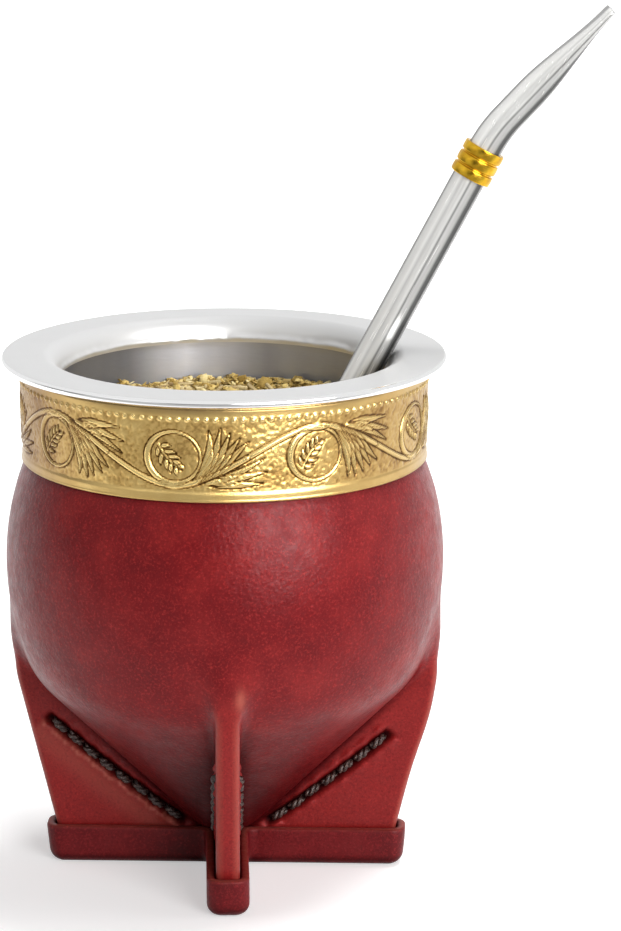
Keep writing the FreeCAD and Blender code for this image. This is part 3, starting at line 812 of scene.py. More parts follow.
def make_stitches(side, mat):
    """Saddle stitches on both faces of a fin: two twisted strands dip from hole to hole."""
    centre, radius, start, sweep = stitch_row(side)
    steps = round(abs(sweep) * radius / STITCH_PITCH)
    rng = np.random.default_rng(40 + list(FIN_TURN).index(side))
    out = Joined()
    for face in (-1, 1):
        for k in range(steps):
            t = np.linspace(0, 1, 22)
            angle = start + sweep * (k + 0.07 + 0.86 * t) / steps
            slip = rng.uniform(-0.22, 0.22) + rng.uniform(-0.2, 0.2) * (t - 0.5)
            x = centre[0] + (radius + slip) * np.cos(angle)
            z = centre[1] + (radius + slip) * np.sin(angle)
            rise = LEATHER_T - GROOVE_DEPTH + 0.5 + 0.62 * np.sin(math.pi * t) ** 0.6
            rise = rise - 0.9 * (2 * np.abs(t - 0.5)) ** 8
            middle = np.stack([x, face * rise, z], -1)
            forward = np.gradient(middle, axis=0)
            forward /= np.linalg.norm(forward, axis=1, keepdims=True)
            lift = np.array([0.0, face, 0.0])
            sideways = np.cross(forward, lift)
            sideways /= np.linalg.norm(sideways, axis=1, keepdims=True)
            phase = rng.uniform(0, TAU)
            for strand in (0, math.pi):
                twist = phase + strand + t * TAU * 1.25
                path = middle + 0.36 * (np.cos(twist)[:, None] * sideways + np.sin(twist)[:, None] * lift)
                thick = 0.50 * np.sin(math.pi * np.clip(t, 0.03, 0.97)) ** 0.25
                rings = tube_rings(path, thick)
                rings[..., 0], rings[..., 1] = from_fin(side, rings[..., 0], rings[..., 1])
                out.add(*capped(rings), rng.uniform())
    return placed(out.make("stitches_" + side), mat, "thread", "thread_" + side)


# ---- Brass band ----

UNIT_TURN = 40.0            # degrees from one scroll to the next
FIRST_SCROLL = -54.0        # degrees from the front, to the left
PATTERN_MIDDLE = 9.1        # above the band's lower edge
VINE_RISE = 5.7
UNIT_REACH = 21.0           # how far from its middle a scroll's leaves go
GROUND_CELL = 0.5           # size of the punched ground's grain
BEAD_PITCH, BEAD_R, BEAD_DROP = 1.85, 0.56, 2.1     # beading, below the band's upper edge
BAND_COLUMNS = 1216


def bezier(points, count=18):
    """Points on the curve of a control polygon, with their share of the way."""
    t = np.linspace(0, 1, count)
    level = [np.array(p, float)[None, :] * np.ones((count, 1)) for p in points]
    while len(level) > 1:
        level = [a * (1 - t[:, None]) + b * t[:, None] for a, b in zip(level, level[1:])]
    return level[0], t


def stroke_distance(path, share, x, y):
    """Distance of each point from a path, and the nearest place's share of its length."""
    best = np.full(x.shape, 1e9)
    at = np.zeros(x.shape)
    for (ax, ay), (bx, by), ta, tb in zip(path, path[1:], share, share[1:]):
        dx, dy = bx - ax, by - ay
        t = np.clip(((x - ax) * dx + (y - ay) * dy) / (dx * dx + dy * dy), 0, 1)
        d = np.hypot(x - ax - t * dx, y - ay - t * dy)
        nearer = d < best
        best = np.where(nearer, d, best)
        at = np.where(nearer, ta + t * (tb - ta), at)
    return best, at


class Relief:
    """Height of the chased ornament over a sheet: what stands up, what is cut in, where it is smooth."""

    def __init__(self, x, y):
        self.x, self.y = x, y
        self.up, self.cut, self.smooth = np.zeros(x.shape), np.zeros(x.shape), np.zeros(x.shape)

    def stroke(self, points, width, height, line=0.13, taper=(0.25, 0.0), vein=0.0):
        """A stem or leaf along a curve; taper is its width at its root and tip, as a share."""
        path, share = bezier(points)
        d, t = stroke_distance(path, share, self.x, self.y)
        swell = np.sin(math.pi * np.clip(t, 0, 1) ** 0.8)
        ends = taper[0] * (1 - t) + taper[1] * t
        w = width * np.maximum(ends + (1 - np.maximum(ends, 0)) * swell, 0.04)
        inside = np.clip(1 - (d / w) ** 2, 0, 1)
        self.up = np.maximum(self.up, height * inside ** 0.55)
        self.smooth = np.maximum(self.smooth, smooth_step(-d, -w - 0.1, -w + 0.1))
        edge = bell(d - w - 0.4 * line, line) * smooth_step(t, 0.02, 0.12)
        self.cut = np.maximum(self.cut, edge)
        if vein:
            line_along = bell(d, 0.11) * smooth_step(t, 0.1, 0.3) * smooth_step(-t, -0.95, -0.8)
            self.cut = np.maximum(self.cut, vein * line_along)

    def ring(self, radius, centre, thick, thin):
        """The scroll round a sprig: a stem on the left that thins to a line on the right."""
        dx, dy = self.x - centre[0], self.y - centre[1]
        angle = np.arctan2(dy, dx)
        w = thin + (thick - thin) * (0.5 - 0.5 * np.cos(angle + 0.35)) ** 1.5
        d = np.abs(np.hypot(dx, dy * 1.04) - radius)
        self.up = np.maximum(self.up, 0.26 * np.clip(1 - (d / w) ** 2, 0, 1) ** 0.55)
        self.smooth = np.maximum(self.smooth, smooth_step(-d, -w - 0.08, -w + 0.08))
        self.cut = np.maximum(self.cut, bell(d - w - 0.06, 0.13))


def draw_unit(relief, rng):
    """One scroll with its sprig, the vine over it, and the fan of leaves that leaves the vine."""
    pitch = math.radians(UNIT_TURN) * NECK_TOP_R

    def j(amount=0.25):
        return rng.uniform(-amount, amount)

    relief.ring(5.5 + j(0.12), (j(0.2), -0.05), 0.7, 0.24)
    # vine: half a wave either side of the scroll
    for sign in (-1, 1):
        x0, x1 = 0, sign * pitch / 2
        relief.stroke([(x0, VINE_RISE), (x0 + sign * 4.6, VINE_RISE), (x1 - sign * 5.2, 2.9), (x1, 0)],
                      0.55, 0.30, taper=(1.0, 1.0))
    # fan: pointed blades between the scroll and the falling vine
    root = (3.6, VINE_RISE - 0.35)
    tips = [(7.2, -5.5), (9.3, -5.9), (11.3, -5.2), (13.2, -4.4), (15.0, -3.2)]
    for k, (tx, ty) in enumerate(tips):
        spread = k / (len(tips) - 1)
        knee = (6.6 + 3.4 * spread + j(), 2.7 + 0.3 * spread)
        bend = (7.9 + 3.8 * spread + j(), -1.6 + 0.9 * spread)
        relief.stroke([root, knee, bend, (tx + j(), ty + j())], 0.92 - 0.1 * spread, 0.30 - 0.02 * k,
                      taper=(0.30, 0.02), vein=0.75)
    # leaves above the falling vine
    leaves = (((11.5, 5.6), (17.6 + j(), 5.2), 0.95), ((13.0, 3.9), (18.6 + j(), 2.6 + j()), 0.9),
              ((14.0, 2.6), (18.0 + j(), 0.2 + j()), 0.7))
    for knee, tip, width in leaves:
        relief.stroke([(6.6, 4.9), (9.0, 4.8), knee, tip], width, 0.27, taper=(0.25, 0.02), vein=0.75)
    # sprig: a bowed stalk with paired leaflets, each unit's a little different
    lean = rng.uniform(0.45, 0.95)
    foot = np.array([-3.3 + j(0.2), -2.9 + j(0.2)])
    head = foot + 7.2 * np.array([math.cos(lean), math.sin(lean)])
    side_way = np.array([-math.sin(lean), math.cos(lean)]) * rng.uniform(0.8, 1.5)
    stalk = [tuple(foot), tuple((foot + head) / 2 + side_way), tuple(head)]
    relief.stroke(stalk, 0.26, 0.2, taper=(1.0, 0.2))
    path, _ = bezier(stalk)
    for k, at in enumerate((2, 5, 8, 11, 14)):
        here = path[at]
        for sign in (-1, 1):
            angle = lean + sign * (0.95 - 0.09 * k) + j(0.08)
            reach = 2.75 - 0.33 * abs(k - 1.4) + j(0.2)
            tip = here + reach * np.array([math.cos(angle), math.sin(angle)])
            bow = (here + tip) / 2 + 0.45 * sign * np.array([-math.sin(angle), math.cos(angle)])
            relief.stroke([tuple(here), tuple(bow), tuple(tip)], 0.42, 0.24, line=0.1, taper=(0.2, 0.02))


def make_band(mat):
    """The embossed band: beading, chased scrollwork on a punched ground, and a plain border."""
    height = BAND_TOP - NECK_Z
    rise = np.concatenate([
        np.linspace(0, BORDER_H, 8)[:-1], np.linspace(BORDER_H, height - 2.9, 56)[:-1],
        np.linspace(height - 2.9, height - 1.3, 9)[:-1], np.linspace(height - 1.3, height, 4)])
    angle = ring_angles(BAND_COLUMNS)
    azimuth = np.degrees(np.mod(angle + math.pi / 2 + math.pi, TAU) - math.pi)
    v, a = np.meshgrid(rise, azimuth, indexing="ij")
    up, cut, flat = np.zeros(v.shape), np.zeros(v.shape), np.zeros(v.shape)
    # the strip's ends meet at the back: each scroll is drawn only as far as that seam
    for k in range(-4, 7):
        centre = FIRST_SCROLL + UNIT_TURN * k
        x = np.radians(a - centre) * NECK_TOP_R
        near = (np.abs(x) < UNIT_REACH).any(axis=0)
        if not near.any():
            continue
        flip = 1 if k % 2 == 0 else -1
        unit = Relief(x[:, near], flip * (v[:, near] - PATTERN_MIDDLE))
        draw_unit(unit, np.random.default_rng(70 + k))
        up[:, near] = np.maximum(up[:, near], unit.up)
        bare = 1 - 0.9 * smooth_step(up[:, near] - unit.up, 0.02, 0.1)
        cut[:, near] = np.maximum(cut[:, near], unit.cut * bare)
        flat[:, near] = np.maximum(flat[:, near], unit.smooth)

    u = np.radians(a) * NECK_TOP_R
    total = TAU * NECK_TOP_R
    around = round(total / GROUND_CELL)
    pebble = noise(u / total * around, v / GROUND_CELL, 21, around)
    finer = noise(u / total * around * 2, v / GROUND_CELL * 2, 22, around * 2)
    pebble = np.clip(pebble + 0.5 * finer, -1, 1)
    field = between(v, BORDER_H + 0.6, height - 1.75, 0.25)
    ground = 0.085 * pebble * field * (1 - flat)

    beads = round(total / BEAD_PITCH)
    bead_u = (np.mod(u / total * beads + 0.5, 1) - 0.5) * total / beads
    bead_d = np.hypot(bead_u, v - (height - BEAD_DROP))
    bead = 0.30 * np.sqrt(np.clip(1 - (bead_d / BEAD_R) ** 2, 0, 1))
    inside_field = field * smooth_step(-v, -height + 2.6, -height + 2.9)
    border = 0.22 * smooth_step(-v, -BORDER_H - 0.15, -BORDER_H + 0.15)
    border = border * smooth_step(v, -0.02, 0.3) + 0.16 * bell(v - 0.25, 0.16)
    relief = ground + inside_field * (1.15 * up - 0.24 * cut) + bead + border
    seam = bell(np.abs(a) - 180, 0.12)
    relief = relief - 0.25 * seam * field

    r = NECK_R + NECK_FLARE * v / height + BAND_T + relief
    hidden = v[::-25]
    hidden_r = NECK_R + NECK_FLARE * hidden / height
    rings = np.concatenate([around_axis(r, angle, NECK_Z + v), around_axis(hidden_r, angle, NECK_Z + hidden)])
    shown = np.clip(0.47 + 1.5 * (relief - 0.02) - 0.42 * cut * inside_field, 0, 1)
    shown = np.where(field < 0.5, 0.56, shown)
    # painted shade: darker towards the band's sides as seen from the front, less on the right, and just under
    # the rim's lip
    painted_band_shade = 0.9 * smooth_step(np.abs(a + 6), 18, 62) * (0.88 + 0.12 * noise(a / 9, v / 6, 31))
    painted_band_shade = np.where(a > 0, 0.62 * painted_band_shade, painted_band_shade)
    painted_band_shade = np.maximum(painted_band_shade, 0.5 * smooth_step(v, height - 1.6, height - 0.4))
    faces = grid_faces(len(rings), BAND_COLUMNS, wrap_rows=True)
    piece = add_mesh("band", rings.reshape(-1, 3), faces, {"relief": shown, "painted_band_shade": painted_band_shade})
    return placed(piece, mat, "band_brass", "brass_band")


# ---- Rim ----

RIM_COLUMNS = 360
LIP_ROWS, SLEEVE_ROWS = 19, 16      # rows of the profile that are polished, and that are brushed


def make_rim(polished, satin, brushed):
    """Satin flange with a polished lip, rolled into the bore, and the brushed sleeve under it."""
    lip_x, lip_top = RIM_R - LIP_R, RIM_Z - 0.15
    crown = BORE_R + ROLL_W
    sleeve_z = RIM_Z - ROLL_H
    under = np.linspace(NECK_TOP_R + 1.2, lip_x - 0.3, 5)
    flange = np.linspace(0, 1, 10)[1:]
    profile = np.concatenate([
        [[NECK_TOP_R + 0.7, BAND_TOP]],
        np.stack([under, np.linspace(BAND_TOP + 0.25, lip_top - 2 * LIP_R, 5)], -1),
        arc_points((lip_x, lip_top - LIP_R), (LIP_R, LIP_R), -90, 90, 16),
        np.stack([lip_x + (crown - lip_x) * flange, lip_top + 0.15 * np.sin(flange * math.pi / 2)], -1),
        arc_points((crown, sleeve_z), (-ROLL_W, ROLL_H), 90, 0, 20)[1:],
        np.stack([np.full(14, BORE_R), np.linspace(sleeve_z - 0.25, NECK_Z, 14)], -1),
        [[BORE_R + SLEEVE_T, NECK_Z], [BORE_R + SLEEVE_T, BAND_TOP]]])
    rings = lathe(profile, RIM_COLUMNS)
    angle = ring_angles(RIM_COLUMNS)
    # a hand-soldered bead runs round the foot of the roll
    z = rings[..., 2]
    uneven = noise(angle / TAU * 60, angle * 0, 51, 60) + 0.6 * noise(angle / TAU * 150, angle * 0, 52, 150)
    seam_z = sleeve_z + 0.55 + 0.22 * uneven
    r = np.hypot(rings[..., 0], rings[..., 1])
    swell = (0.34 + 0.16 * uneven) * bell(z - seam_z, 0.55) * (r < crown - 0.5)
    rings[..., :2] *= (1 - swell / r)[..., None]
    faces = grid_faces(len(profile), RIM_COLUMNS, wrap_rows=True)[:, ::-1]
    piece = add_mesh("rim", rings.reshape(-1, 3), faces)
    for finish in (polished, satin, brushed):
        piece.data.materials.append(finish)
    rows = np.repeat(np.arange(len(profile)), RIM_COLUMNS)
    finish = np.where(rows < LIP_ROWS, 0, np.where(rows < len(profile) - SLEEVE_ROWS, 1, 2))
    piece.data.polygons.foreach_set("material_index", finish.astype(np.int32))
    return placed(piece, None, "rim_steel", "steel_rim")


# ---- Bombilla ----

def tube_axis():
    """Where the tube's axis passes the rolled rim it leans on."""
    at = math.atan2(ROLL_H * math.tan(TUBE_LEAN), ROLL_W)
    contact_r = BORE_R + ROLL_W * (1 - math.cos(at))
    reach = contact_r - (TUBE_R + STRAW_GAP) / math.cos(TUBE_LEAN)
    return np.array([math.sqrt(reach**2 - TUBE_BACK**2), TUBE_BACK, RIM_Z - ROLL_H * (1 - math.sin(at))])


def straw_way(lean):
    """The way the straw goes where it leans this much, and the way square to that."""
    return np.array([math.sin(lean), 0.0, math.cos(lean)]), np.array([math.cos(lean), 0.0, -math.sin(lean)])


TUBE_WAY, TUBE_SIDE = straw_way(TUBE_LEAN)
STRAW_ACROSS = np.array([0.0, 1.0, 0.0])


def straw_ring(here, lean, thickness, inset=0.0):
    """Section of the straw: round where it is as thick as the tube, wide and blunt where flatter."""
    width = thickness + math.pi * (TUBE_R - thickness / 2)
    power = 2 / (3 - thickness / (2 * TUBE_R))
    t = ring_angles(STRAW_SIDES)
    u = np.sign(np.cos(t)) * np.abs(np.cos(t)) ** power * (width / 2 - inset)
    w = np.sign(np.sin(t)) * np.abs(np.sin(t)) ** power * (thickness / 2 - inset)
    return here + u[:, None] * STRAW_ACROSS - w[:, None] * straw_way(lean)[1]


def straw_wall(name, stations, lip=0.0):
    """The straw's wall through stations of (place, lean, thickness); lip rounds its last outer ring.

    The attribute around runs 0..1 from its low side to its high one.
    """
    outer = np.array([straw_ring(*station) for station in stations])
    inner = np.array([straw_ring(*station, min(TUBE_WALL, station[2] / 2 - 0.35)) for station in stations])
    outer[-1] += lip * (inner[-1] - outer[-1])
    rings = np.concatenate([outer, inner[::-1]])
    around = 0.5 - 0.5 * np.sin(ring_angles(STRAW_SIDES))
    faces = grid_faces(len(rings), STRAW_SIDES, wrap_rows=True)
    return add_mesh(name, rings.reshape(-1, 3), faces, {"around": np.tile(around, len(rings))})


def softened(values, edge=0.12):
    """Runs of places along a tube, with two more close to each end."""
    return np.concatenate([[values[0]], [values[0] + edge], values[1:-1], [values[-1] - edge], [values[-1]]])


def make_tube(mat):
    rest = tube_axis()
    depth = (rest[2] - TUBE_LOW[2] - TUBE_R * math.sin(TUBE_LEAN)) / math.cos(TUBE_LEAN)
    places = softened(np.linspace(-depth, COLLAR_UP, 12))
    stations = [(rest + TUBE_WAY * s, TUBE_LEAN, 2 * TUBE_R) for s in places]
    return placed(straw_wall("straw_tube", stations), mat, "straw_steel", "bombilla_tube")


BEND_STEPS = 10
COLLAR_RINGS, RING_L, RING_GAP = 3, 2.0, 0.45
COLLAR_L = COLLAR_RINGS * RING_L + (COLLAR_RINGS - 1) * RING_GAP


def make_mouthpiece(mat):
    """From inside the collar round the bend, then flattening to a slot."""
    rest = tube_axis()
    stations = [(rest + TUBE_WAY * (COLLAR_UP + COLLAR_L / 2 * share), TUBE_LEAN, 2 * TUBE_R)
                for share in (0, 0.5, 1)]
    here = stations[-1][0]
    step = MOUTH_BEND / BEND_STEPS
    for i in range(BEND_STEPS):
        here = here + straw_way(TUBE_LEAN + step * (i + 0.5))[0] * (2 * BEND_ARC * math.sin(step / 2))
        thickness = 2 * TUBE_R + (MOUTH_T - 2 * TUBE_R) * (i + 1) / BEND_STEPS
        stations.append((here, TUBE_LEAN + step * (i + 1), thickness))
    lean = TUBE_LEAN + MOUTH_BEND
    for s in np.linspace(0, MOUTH_L, 40)[1:]:
        u = min(max((s - TAPER_START) / (MOUTH_L - TAPER_START), 0), 1)
        thickness = TIP_T + (MOUTH_T - TIP_T) * (1 - u * u * (3 - 2 * u))
        stations.append((here + straw_way(lean)[0] * s, lean, thickness))
    return placed(straw_wall("straw_mouth", stations, 0.18), mat, "straw_steel", "bombilla_mouthpiece")


def make_collar(mat):
    """Three brass rings with rounded edges and grooves between them."""
    outside, deep, edge = TUBE_R + 0.85, 0.45, 0.22
    profile = [(TUBE_R, 0.0)]
    z = 0.0
    for i in range(COLLAR_RINGS):
        profile += [tuple(p) for p in arc_points((outside - edge, z + edge), (edge, edge), -90, 0, 5)]
        profile += [(outside + 0.05, z + RING_L / 2)]
        profile += [tuple(p) for p in arc_points((outside - edge, z + RING_L - edge), (edge, edge), 0, 90, 5)]
        z += RING_L
        if i < COLLAR_RINGS - 1:
            profile += [(outside - deep, z + 0.05), (outside - deep, z + RING_GAP - 0.05)]
            z += RING_GAP
    profile.append((TUBE_R, z))
    rest = tube_axis() + TUBE_WAY * (COLLAR_UP - COLLAR_L / 2)
    rings = lathe(profile, STRAW_SIDES)
    rings = rest + rings[..., :1] * TUBE_SIDE + rings[..., 1:2] * STRAW_ACROSS + rings[..., 2:] * TUBE_WAY
    faces = grid_faces(len(profile), STRAW_SIDES, wrap_rows=True)
    piece = add_mesh("straw_collar", rings.reshape(-1, 3), faces)
    return placed(piece, mat, "collar_brass", "bombilla_collar")


# ---- Yerba ----

def yerba_height(x, y):
    wave = np.sin(0.21 * x + 0.6) * np.cos(0.17 * y - 0.4) + 0.5 * np.sin(0.33 * y + 0.24 * x)
    return YERBA_Z + YERBA_WAVE * wave


YERBA_INTO = 0.3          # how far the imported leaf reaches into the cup's wall
CORE_COLUMNS = 128


def make_yerba_core(mat):
    """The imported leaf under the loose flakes."""
    radii = np.concatenate([np.linspace(0.6, BORE_R, 44), [BORE_R + YERBA_INTO]])
    angle = ring_angles(CORE_COLUMNS)
    x, y = radii[:, None] * np.cos(angle), radii[:, None] * np.sin(angle)
    crumbs = 0.35 * noise(x / 0.9 + 60, y / 0.9 + 60, 61) + 0.35 * noise(x / 2.3 + 60, y / 2.3 + 60, 62)
    top = np.stack([x, y, yerba_height(x, y) - 0.55 + crumbs], -1)
    depths = np.concatenate([[NECK_Z + 0.1], np.linspace(NECK_Z, 24, 26)[1:], [TIP_Z - 2.9]])
    cavity = np.maximum(body_radius(depths, LEATHER_T + GOURD_T) + YERBA_INTO, 0.8)
    cavity[0] = BORE_R + YERBA_INTO
    sides = around_axis(cavity[:, None], angle, depths[:, None])
    points, faces = capped(np.concatenate([top, sides])[::-1])
    tints = 0.35 + 0.2 * noise(points[:, 0] / 1.6 + 60, points[:, 1] / 1.6 + 60, 63)
    return placed(add_mesh("yerba_core", points, faces, {"tint": tints}), mat, "yerba_leaf", "yerba")


def flake(rng, size):
    """A curled scrap of leaf, thin and closed."""
    length, width, thick = size, size * rng.uniform(0.4, 0.8), rng.uniform(0.10, 0.2)
    curl = rng.uniform(-0.5, 0.5) * length
    points = []
    for level in (0, thick):
        for s in (-0.5, 0.0, 0.5):
            for edge in (-0.5, 0.5):
                pinch = 1 - 0.5 * abs(s) + rng.uniform(-0.25, 0.25)
                shift = rng.uniform(-0.15, 0.15)
                points.append([s * length + shift, edge * width * pinch, level + curl * s * s])
    faces = [[0, 1, 3, 2], [2, 3, 5, 4], [6, 8, 9, 7], [8, 10, 11, 9], [0, 6, 7, 1], [4, 5, 11, 10],
             [0, 2, 8, 6], [2, 4, 10, 8], [1, 7, 9, 3], [3, 9, 11, 5]]
    return np.array(points), faces


def turn_matrix(rng, tilt):
    """A random turn about Z, tipped by up to about tilt radians."""
    a, b, c = rng.uniform(0, TAU), rng.normal(0, tilt), rng.normal(0, tilt)
    rz = np.array([[math.cos(a), -math.sin(a), 0], [math.sin(a), math.cos(a), 0], [0, 0, 1]])
    rx = np.array([[1, 0, 0], [0, math.cos(b), -math.sin(b)], [0, math.sin(b), math.cos(b)]])
    ry = np.array([[math.cos(c), 0, math.sin(c)], [0, 1, 0], [-math.sin(c), 0, math.cos(c)]])
    return rz @ rx @ ry


def clear_of_straw(x, y, z, room):
    """Whether a point keeps this far from the bombilla."""
    offset = np.array([x, y, z]) - tube_axis()
    return np.linalg.norm(offset - TUBE_WAY * offset.dot(TUBE_WAY)) > TUBE_R + room


# ridges of flakes pushed up against the back wall: (x, width, height), in millimetres
BACK_RIDGES = ((-24.5, 6.0, 1.9), (-21.4, 1.3, 1.5), (-4.5, 1.6, 1.6),
               (2.6, 4.4, 1.6), (11.0, 3.0, 1.1), (16.4, 1.1, 1.6))
BACK_Y = 22               # the ridges are behind this
FLAKES, BACK_FLAKES, STICKS = 5200, 700, 230
FLAKE_SIZES, FLAKE_SHARES = [1.1, 1.7, 2.4, 3.2], [0.4, 0.33, 0.19, 0.08]


def make_flakes(mat):
    rng = np.random.default_rng(5)
    out = Joined()
    for k in range(FLAKES):
        size = rng.choice(FLAKE_SIZES, p=FLAKE_SHARES) * rng.uniform(0.8, 1.2)
        at_back = k < BACK_FLAKES
        room = BORE_R - size * 0.55 - 0.25
        if at_back:
            # along the back wall, where the cup has been tilted to drink
            a = rng.uniform(math.radians(40), math.radians(140))
            r = room - abs(rng.normal(0, 2.2))
        else:
            a, r = rng.uniform(0, TAU), room * math.sqrt(rng.uniform())
        x, y = r * math.cos(a), r * math.sin(a)
        ridge = sum(h * math.exp(-((x - cx) / w) ** 2) for cx, w, h in BACK_RIDGES) if y > BACK_Y else 0
        z = float(yerba_height(x, y)) - 0.35 + rng.uniform(0, 0.6) + ridge * rng.uniform(0.1, 1.0) * at_back
        if not clear_of_straw(x, y, z, size * 0.55 + 0.1):
            continue
        points, faces = flake(rng, size)
        points = points @ turn_matrix(rng, 0.38).T + [x, y, z]
        out.add(points, faces, rng.beta(2.2, 2.2))
    return placed(out.make("yerba_flakes"), mat, "yerba_leaf")


def make_sticks(mat):
    rng = np.random.default_rng(9)
    out = Joined()
    for _ in range(STICKS):
        length, thick = rng.uniform(3.0, 9.0), rng.uniform(0.28, 0.6)
        a, r = rng.uniform(0, TAU), (BORE_R - length * 0.5 - 0.5) * math.sqrt(rng.uniform())
        x, y = r * math.cos(a), r * math.sin(a)
        z = float(yerba_height(x, y)) + 0.1 + rng.uniform(0, 0.5)
        if not clear_of_straw(x, y, z, length * 0.5 + 0.3):
            continue
        s = np.linspace(-0.5, 0.5, 6)
        path = np.stack([s * length, 0.12 * length * rng.uniform(-1, 1) * s**2, 0 * s], -1)
        path = path @ turn_matrix(rng, 0.13).T + [x, y, z]
        rings = tube_rings(path, thick * (1 + 0.12 * rng.uniform(-1, 1, 6)), 7)
        out.add(*capped(rings), rng.uniform())
    return placed(out.make("yerba_sticks"), mat, "yerba_leaf")


# ---- Camera, floor and light ----

CAMERA_AT = (0, -0.8167, 0.28567)     # metres; it looks down and a little to the right
CAMERA_DOWN, CAMERA_RIGHT = 0.2399, 0.0218
CAMERA_LENS, CAMERA_SENSOR = 156.62, 36


def make_camera():
    camera = bpy.data.objects.new("camera", bpy.data.cameras.new("camera"))
    bpy.context.scene.collection.objects.link(camera)
    camera.location = CAMERA_AT
    camera.rotation_euler = (math.pi / 2 - CAMERA_DOWN, 0, -CAMERA_RIGHT)
    camera.data.sensor_width = CAMERA_SENSOR
    camera.data.lens = CAMERA_LENS
    camera.data.clip_start = 0.01
    bpy.context.scene.camera = camera


def rays_seen(tree):
    """1 for rays that show a background: from the camera, in a mirror or through glass."""
    path = node(tree, "ShaderNodeLightPath")
    seen = maths(tree, "MAXIMUM", path.outputs["Is Camera Ray"], path.outputs["Is Glossy Ray"])
    return path, maths(tree, "MAXIMUM", seen, path.outputs["Is Transmission Ray"])


FLOOR_HALF = 3.0          # metres
FLOOR_GLOW, FAR_GLOW = 0.44, 1.1
FLOOR_ALBEDO, DIMMED_ALBEDO = 0.8, 0.3


def make_floor():
    """A white floor: it takes the object's soft shadow, and glows enough to be white elsewhere."""
    corners = [[x * FLOOR_HALF, y * FLOOR_HALF, 0] for x, y in ((-1, -1), (1, -1), (1, 1), (-1, 1))]
    floor = add_mesh("floor", np.array(corners) / MM, [[0, 1, 2, 3]], smooth=False)
    mat, tree, shader = material("floor", 0.9)
    shader.inputs["Specular IOR Level"].default_value = 0.0
    path, seen = rays_seen(tree)
    # in metal the floor darkens away from the cup, towards the camera's side
    away = remap(tree, object_xyz(tree)["Y"], -0.17, -0.05, 1.0, 0.0)
    dimmed = maths(tree, "MULTIPLY", path.outputs["Is Glossy Ray"], away)
    albedo = mix(tree, dimmed, (FLOOR_ALBEDO,) * 3, (DIMMED_ALBEDO,) * 3)
    tree.links.new(albedo, shader.inputs["Base Color"])
    # far out, where the lamps don't reach, it glows more, so that no horizon shows
    distance = node(tree, "ShaderNodeVectorMath", {0: place(tree)}, operation="LENGTH").outputs["Value"]
    glow = remap(tree, distance, 0.5, 1.5, FLOOR_GLOW, FAR_GLOW)
    kept = maths(tree, "SUBTRACT", 1.0, maths(tree, "MULTIPLY", dimmed, 0.65))
    glow = maths(tree, "MULTIPLY", glow, kept)
    shader.inputs["Emission Color"].default_value = (1, 1, 1, 1)
    tree.links.new(maths(tree, "MULTIPLY", glow, seen), shader.inputs["Emission Strength"])
    floor.data.materials.append(mat)


AMBIENT = 0.26
WHITE_SIDE, DARK_SIDE = 0.95, 0.25
# soft boxes that only gloss and metal see: (direction, cosine where each starts, where it is full, strength)
SOFT_BOXES = (((0.5, -0.81, 0.3), 0.88, 0.98, 12.0), ((-0.78, -0.6, 0.06), 0.88, 0.96, 0.4))


def make_world():
    """White behind the object; what metal mirrors is white too, but darker towards the camera's side."""
    world = bpy.data.worlds.new("studio")
    bpy.context.scene.world = world
    world.use_nodes = True
    tree = world.node_tree
    background = tree.nodes["Background"]
    path = node(tree, "ShaderNodeLightPath")
    way = node(tree, "ShaderNodeTexCoord").outputs["Generated"]

    def towards(direction, low, high, to_low, to_high):
        d = np.array(direction, float)
        d /= np.linalg.norm(d)
        dot = node(tree, "ShaderNodeVectorMath", {0: way, 1: tuple(d)}, operation="DOT_PRODUCT")
        return remap(tree, dot.outputs["Value"], low, high, to_low, to_high, interpolation_type="SMOOTHSTEP")

    # the room's dark side: in front of the cup, below the ceiling
    front = towards((-0.45, -0.9, 0), -0.1, 0.35, 0.0, 1.0)
    below = towards((0, 0, 1), 0.2, 0.42, 1.0, 0.0)
    dark_side = maths(tree, "MULTIPLY", front, maths(tree, "MULTIPLY", below, WHITE_SIDE - DARK_SIDE))
    mirrored = maths(tree, "SUBTRACT", WHITE_SIDE, dark_side)
    for direction, low, high, strength in SOFT_BOXES:
        mirrored = maths(tree, "ADD", mirrored, towards(direction, low, high, 0.0, strength))
    above = maths(tree, "SUBTRACT", mirrored, AMBIENT)
    in_gloss = maths(tree, "MULTIPLY", path.outputs["Is Glossy Ray"], above)
    level = maths(tree, "ADD", in_gloss, AMBIENT)
    seen = maths(tree, "MAXIMUM", path.outputs["Is Camera Ray"], path.outputs["Is Transmission Ray"])
    level = maths(tree, "MAXIMUM", level, seen)
    tree.links.new(level, background.inputs["Strength"])
    background.inputs["Color"].default_value = (1, 1, 1, 1)


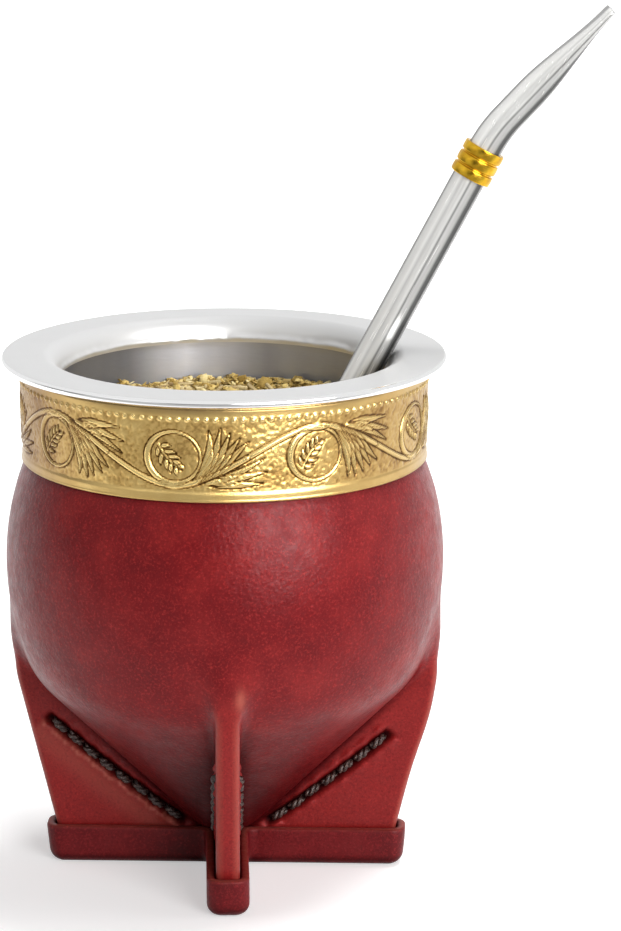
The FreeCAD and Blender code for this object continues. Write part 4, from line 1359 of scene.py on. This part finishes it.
def make_light(name, place_m, size, power, aim=(0, 0, 0.06)):
    """A soft box that faces the cup."""
    light = bpy.data.lights.new(name, "AREA")
    light.shape = "RECTANGLE"
    light.size, light.size_y = size
    light.energy = power
    made = bpy.data.objects.new(name, light)
    bpy.context.scene.collection.objects.link(made)
    made.location = place_m
    made.visible_glossy = False
    way = np.array(aim) - np.array(place_m)
    yaw = math.atan2(way[0], -way[1])
    pitch = math.atan2(math.hypot(way[0], way[1]), -way[2])
    made.rotation_euler = (pitch, 0, yaw + math.pi)


# lamps: (name, place in metres, width and height in metres, power in watts)
LAMPS = (("key", (1.4, -2.65, 1.2), (1.6, 1.6), 66), ("left", (-2.7, -0.6, 0.8), (1.2, 1.6), 5),
         ("right", (2.7, -0.4, 0.8), (1.2, 1.6), 22), ("top", (0.7, 0.45, 2.9), (1.2, 1.2), 72))


# ---- All of it ----

def main():
    scene = bpy.context.scene
    scene.view_settings.view_transform = "Standard"
    make_camera()
    make_floor()
    make_world()
    for lamp in LAMPS:
        make_light(*lamp)

    make_cover(leather_material(
        "cover_leather", (0.115, 0.0035, 0.0055), (0.155, 0.005, 0.007), (0.29, 0.019, 0.017), 0.36))
    make_sole(leather_material(
        "sole_leather", (0.07, 0.0025, 0.004), (0.115, 0.0045, 0.0065), (0.21, 0.014, 0.015), 0.42))
    thread = thread_material()
    for side in FIN_TURN:
        make_stitches(side, thread)
    make_band(brass_material())
    polished = rim_steel("polished_steel", 0.86, 1.0, 0.05, 0.12)
    satin = rim_steel("satin_steel_rim", 0.63, 0.5, 0.3, 0.38)
    make_rim(polished, satin, sleeve_steel())
    straw = straw_steel()
    make_tube(straw)
    make_mouthpiece(straw)
    make_collar(collar_brass())
    leaf = yerba_material("yerba_leaf", [
        (0.1, (0.15, 0.095, 0.02)), (0.35, (0.42, 0.28, 0.075)),
        (0.6, (0.66, 0.48, 0.16)), (0.9, (0.8, 0.68, 0.36))])
    stalk = yerba_material("yerba_stalk", [(0.1, (0.3, 0.2, 0.08)), (0.9, (0.62, 0.5, 0.26))])
    make_yerba_core(leaf)
    make_flakes(leaf)
    make_sticks(stalk)
    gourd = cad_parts["gourd_shell"]
    gourd.data.materials.clear()
    gourd.data.materials.append(gourd_material())


main()
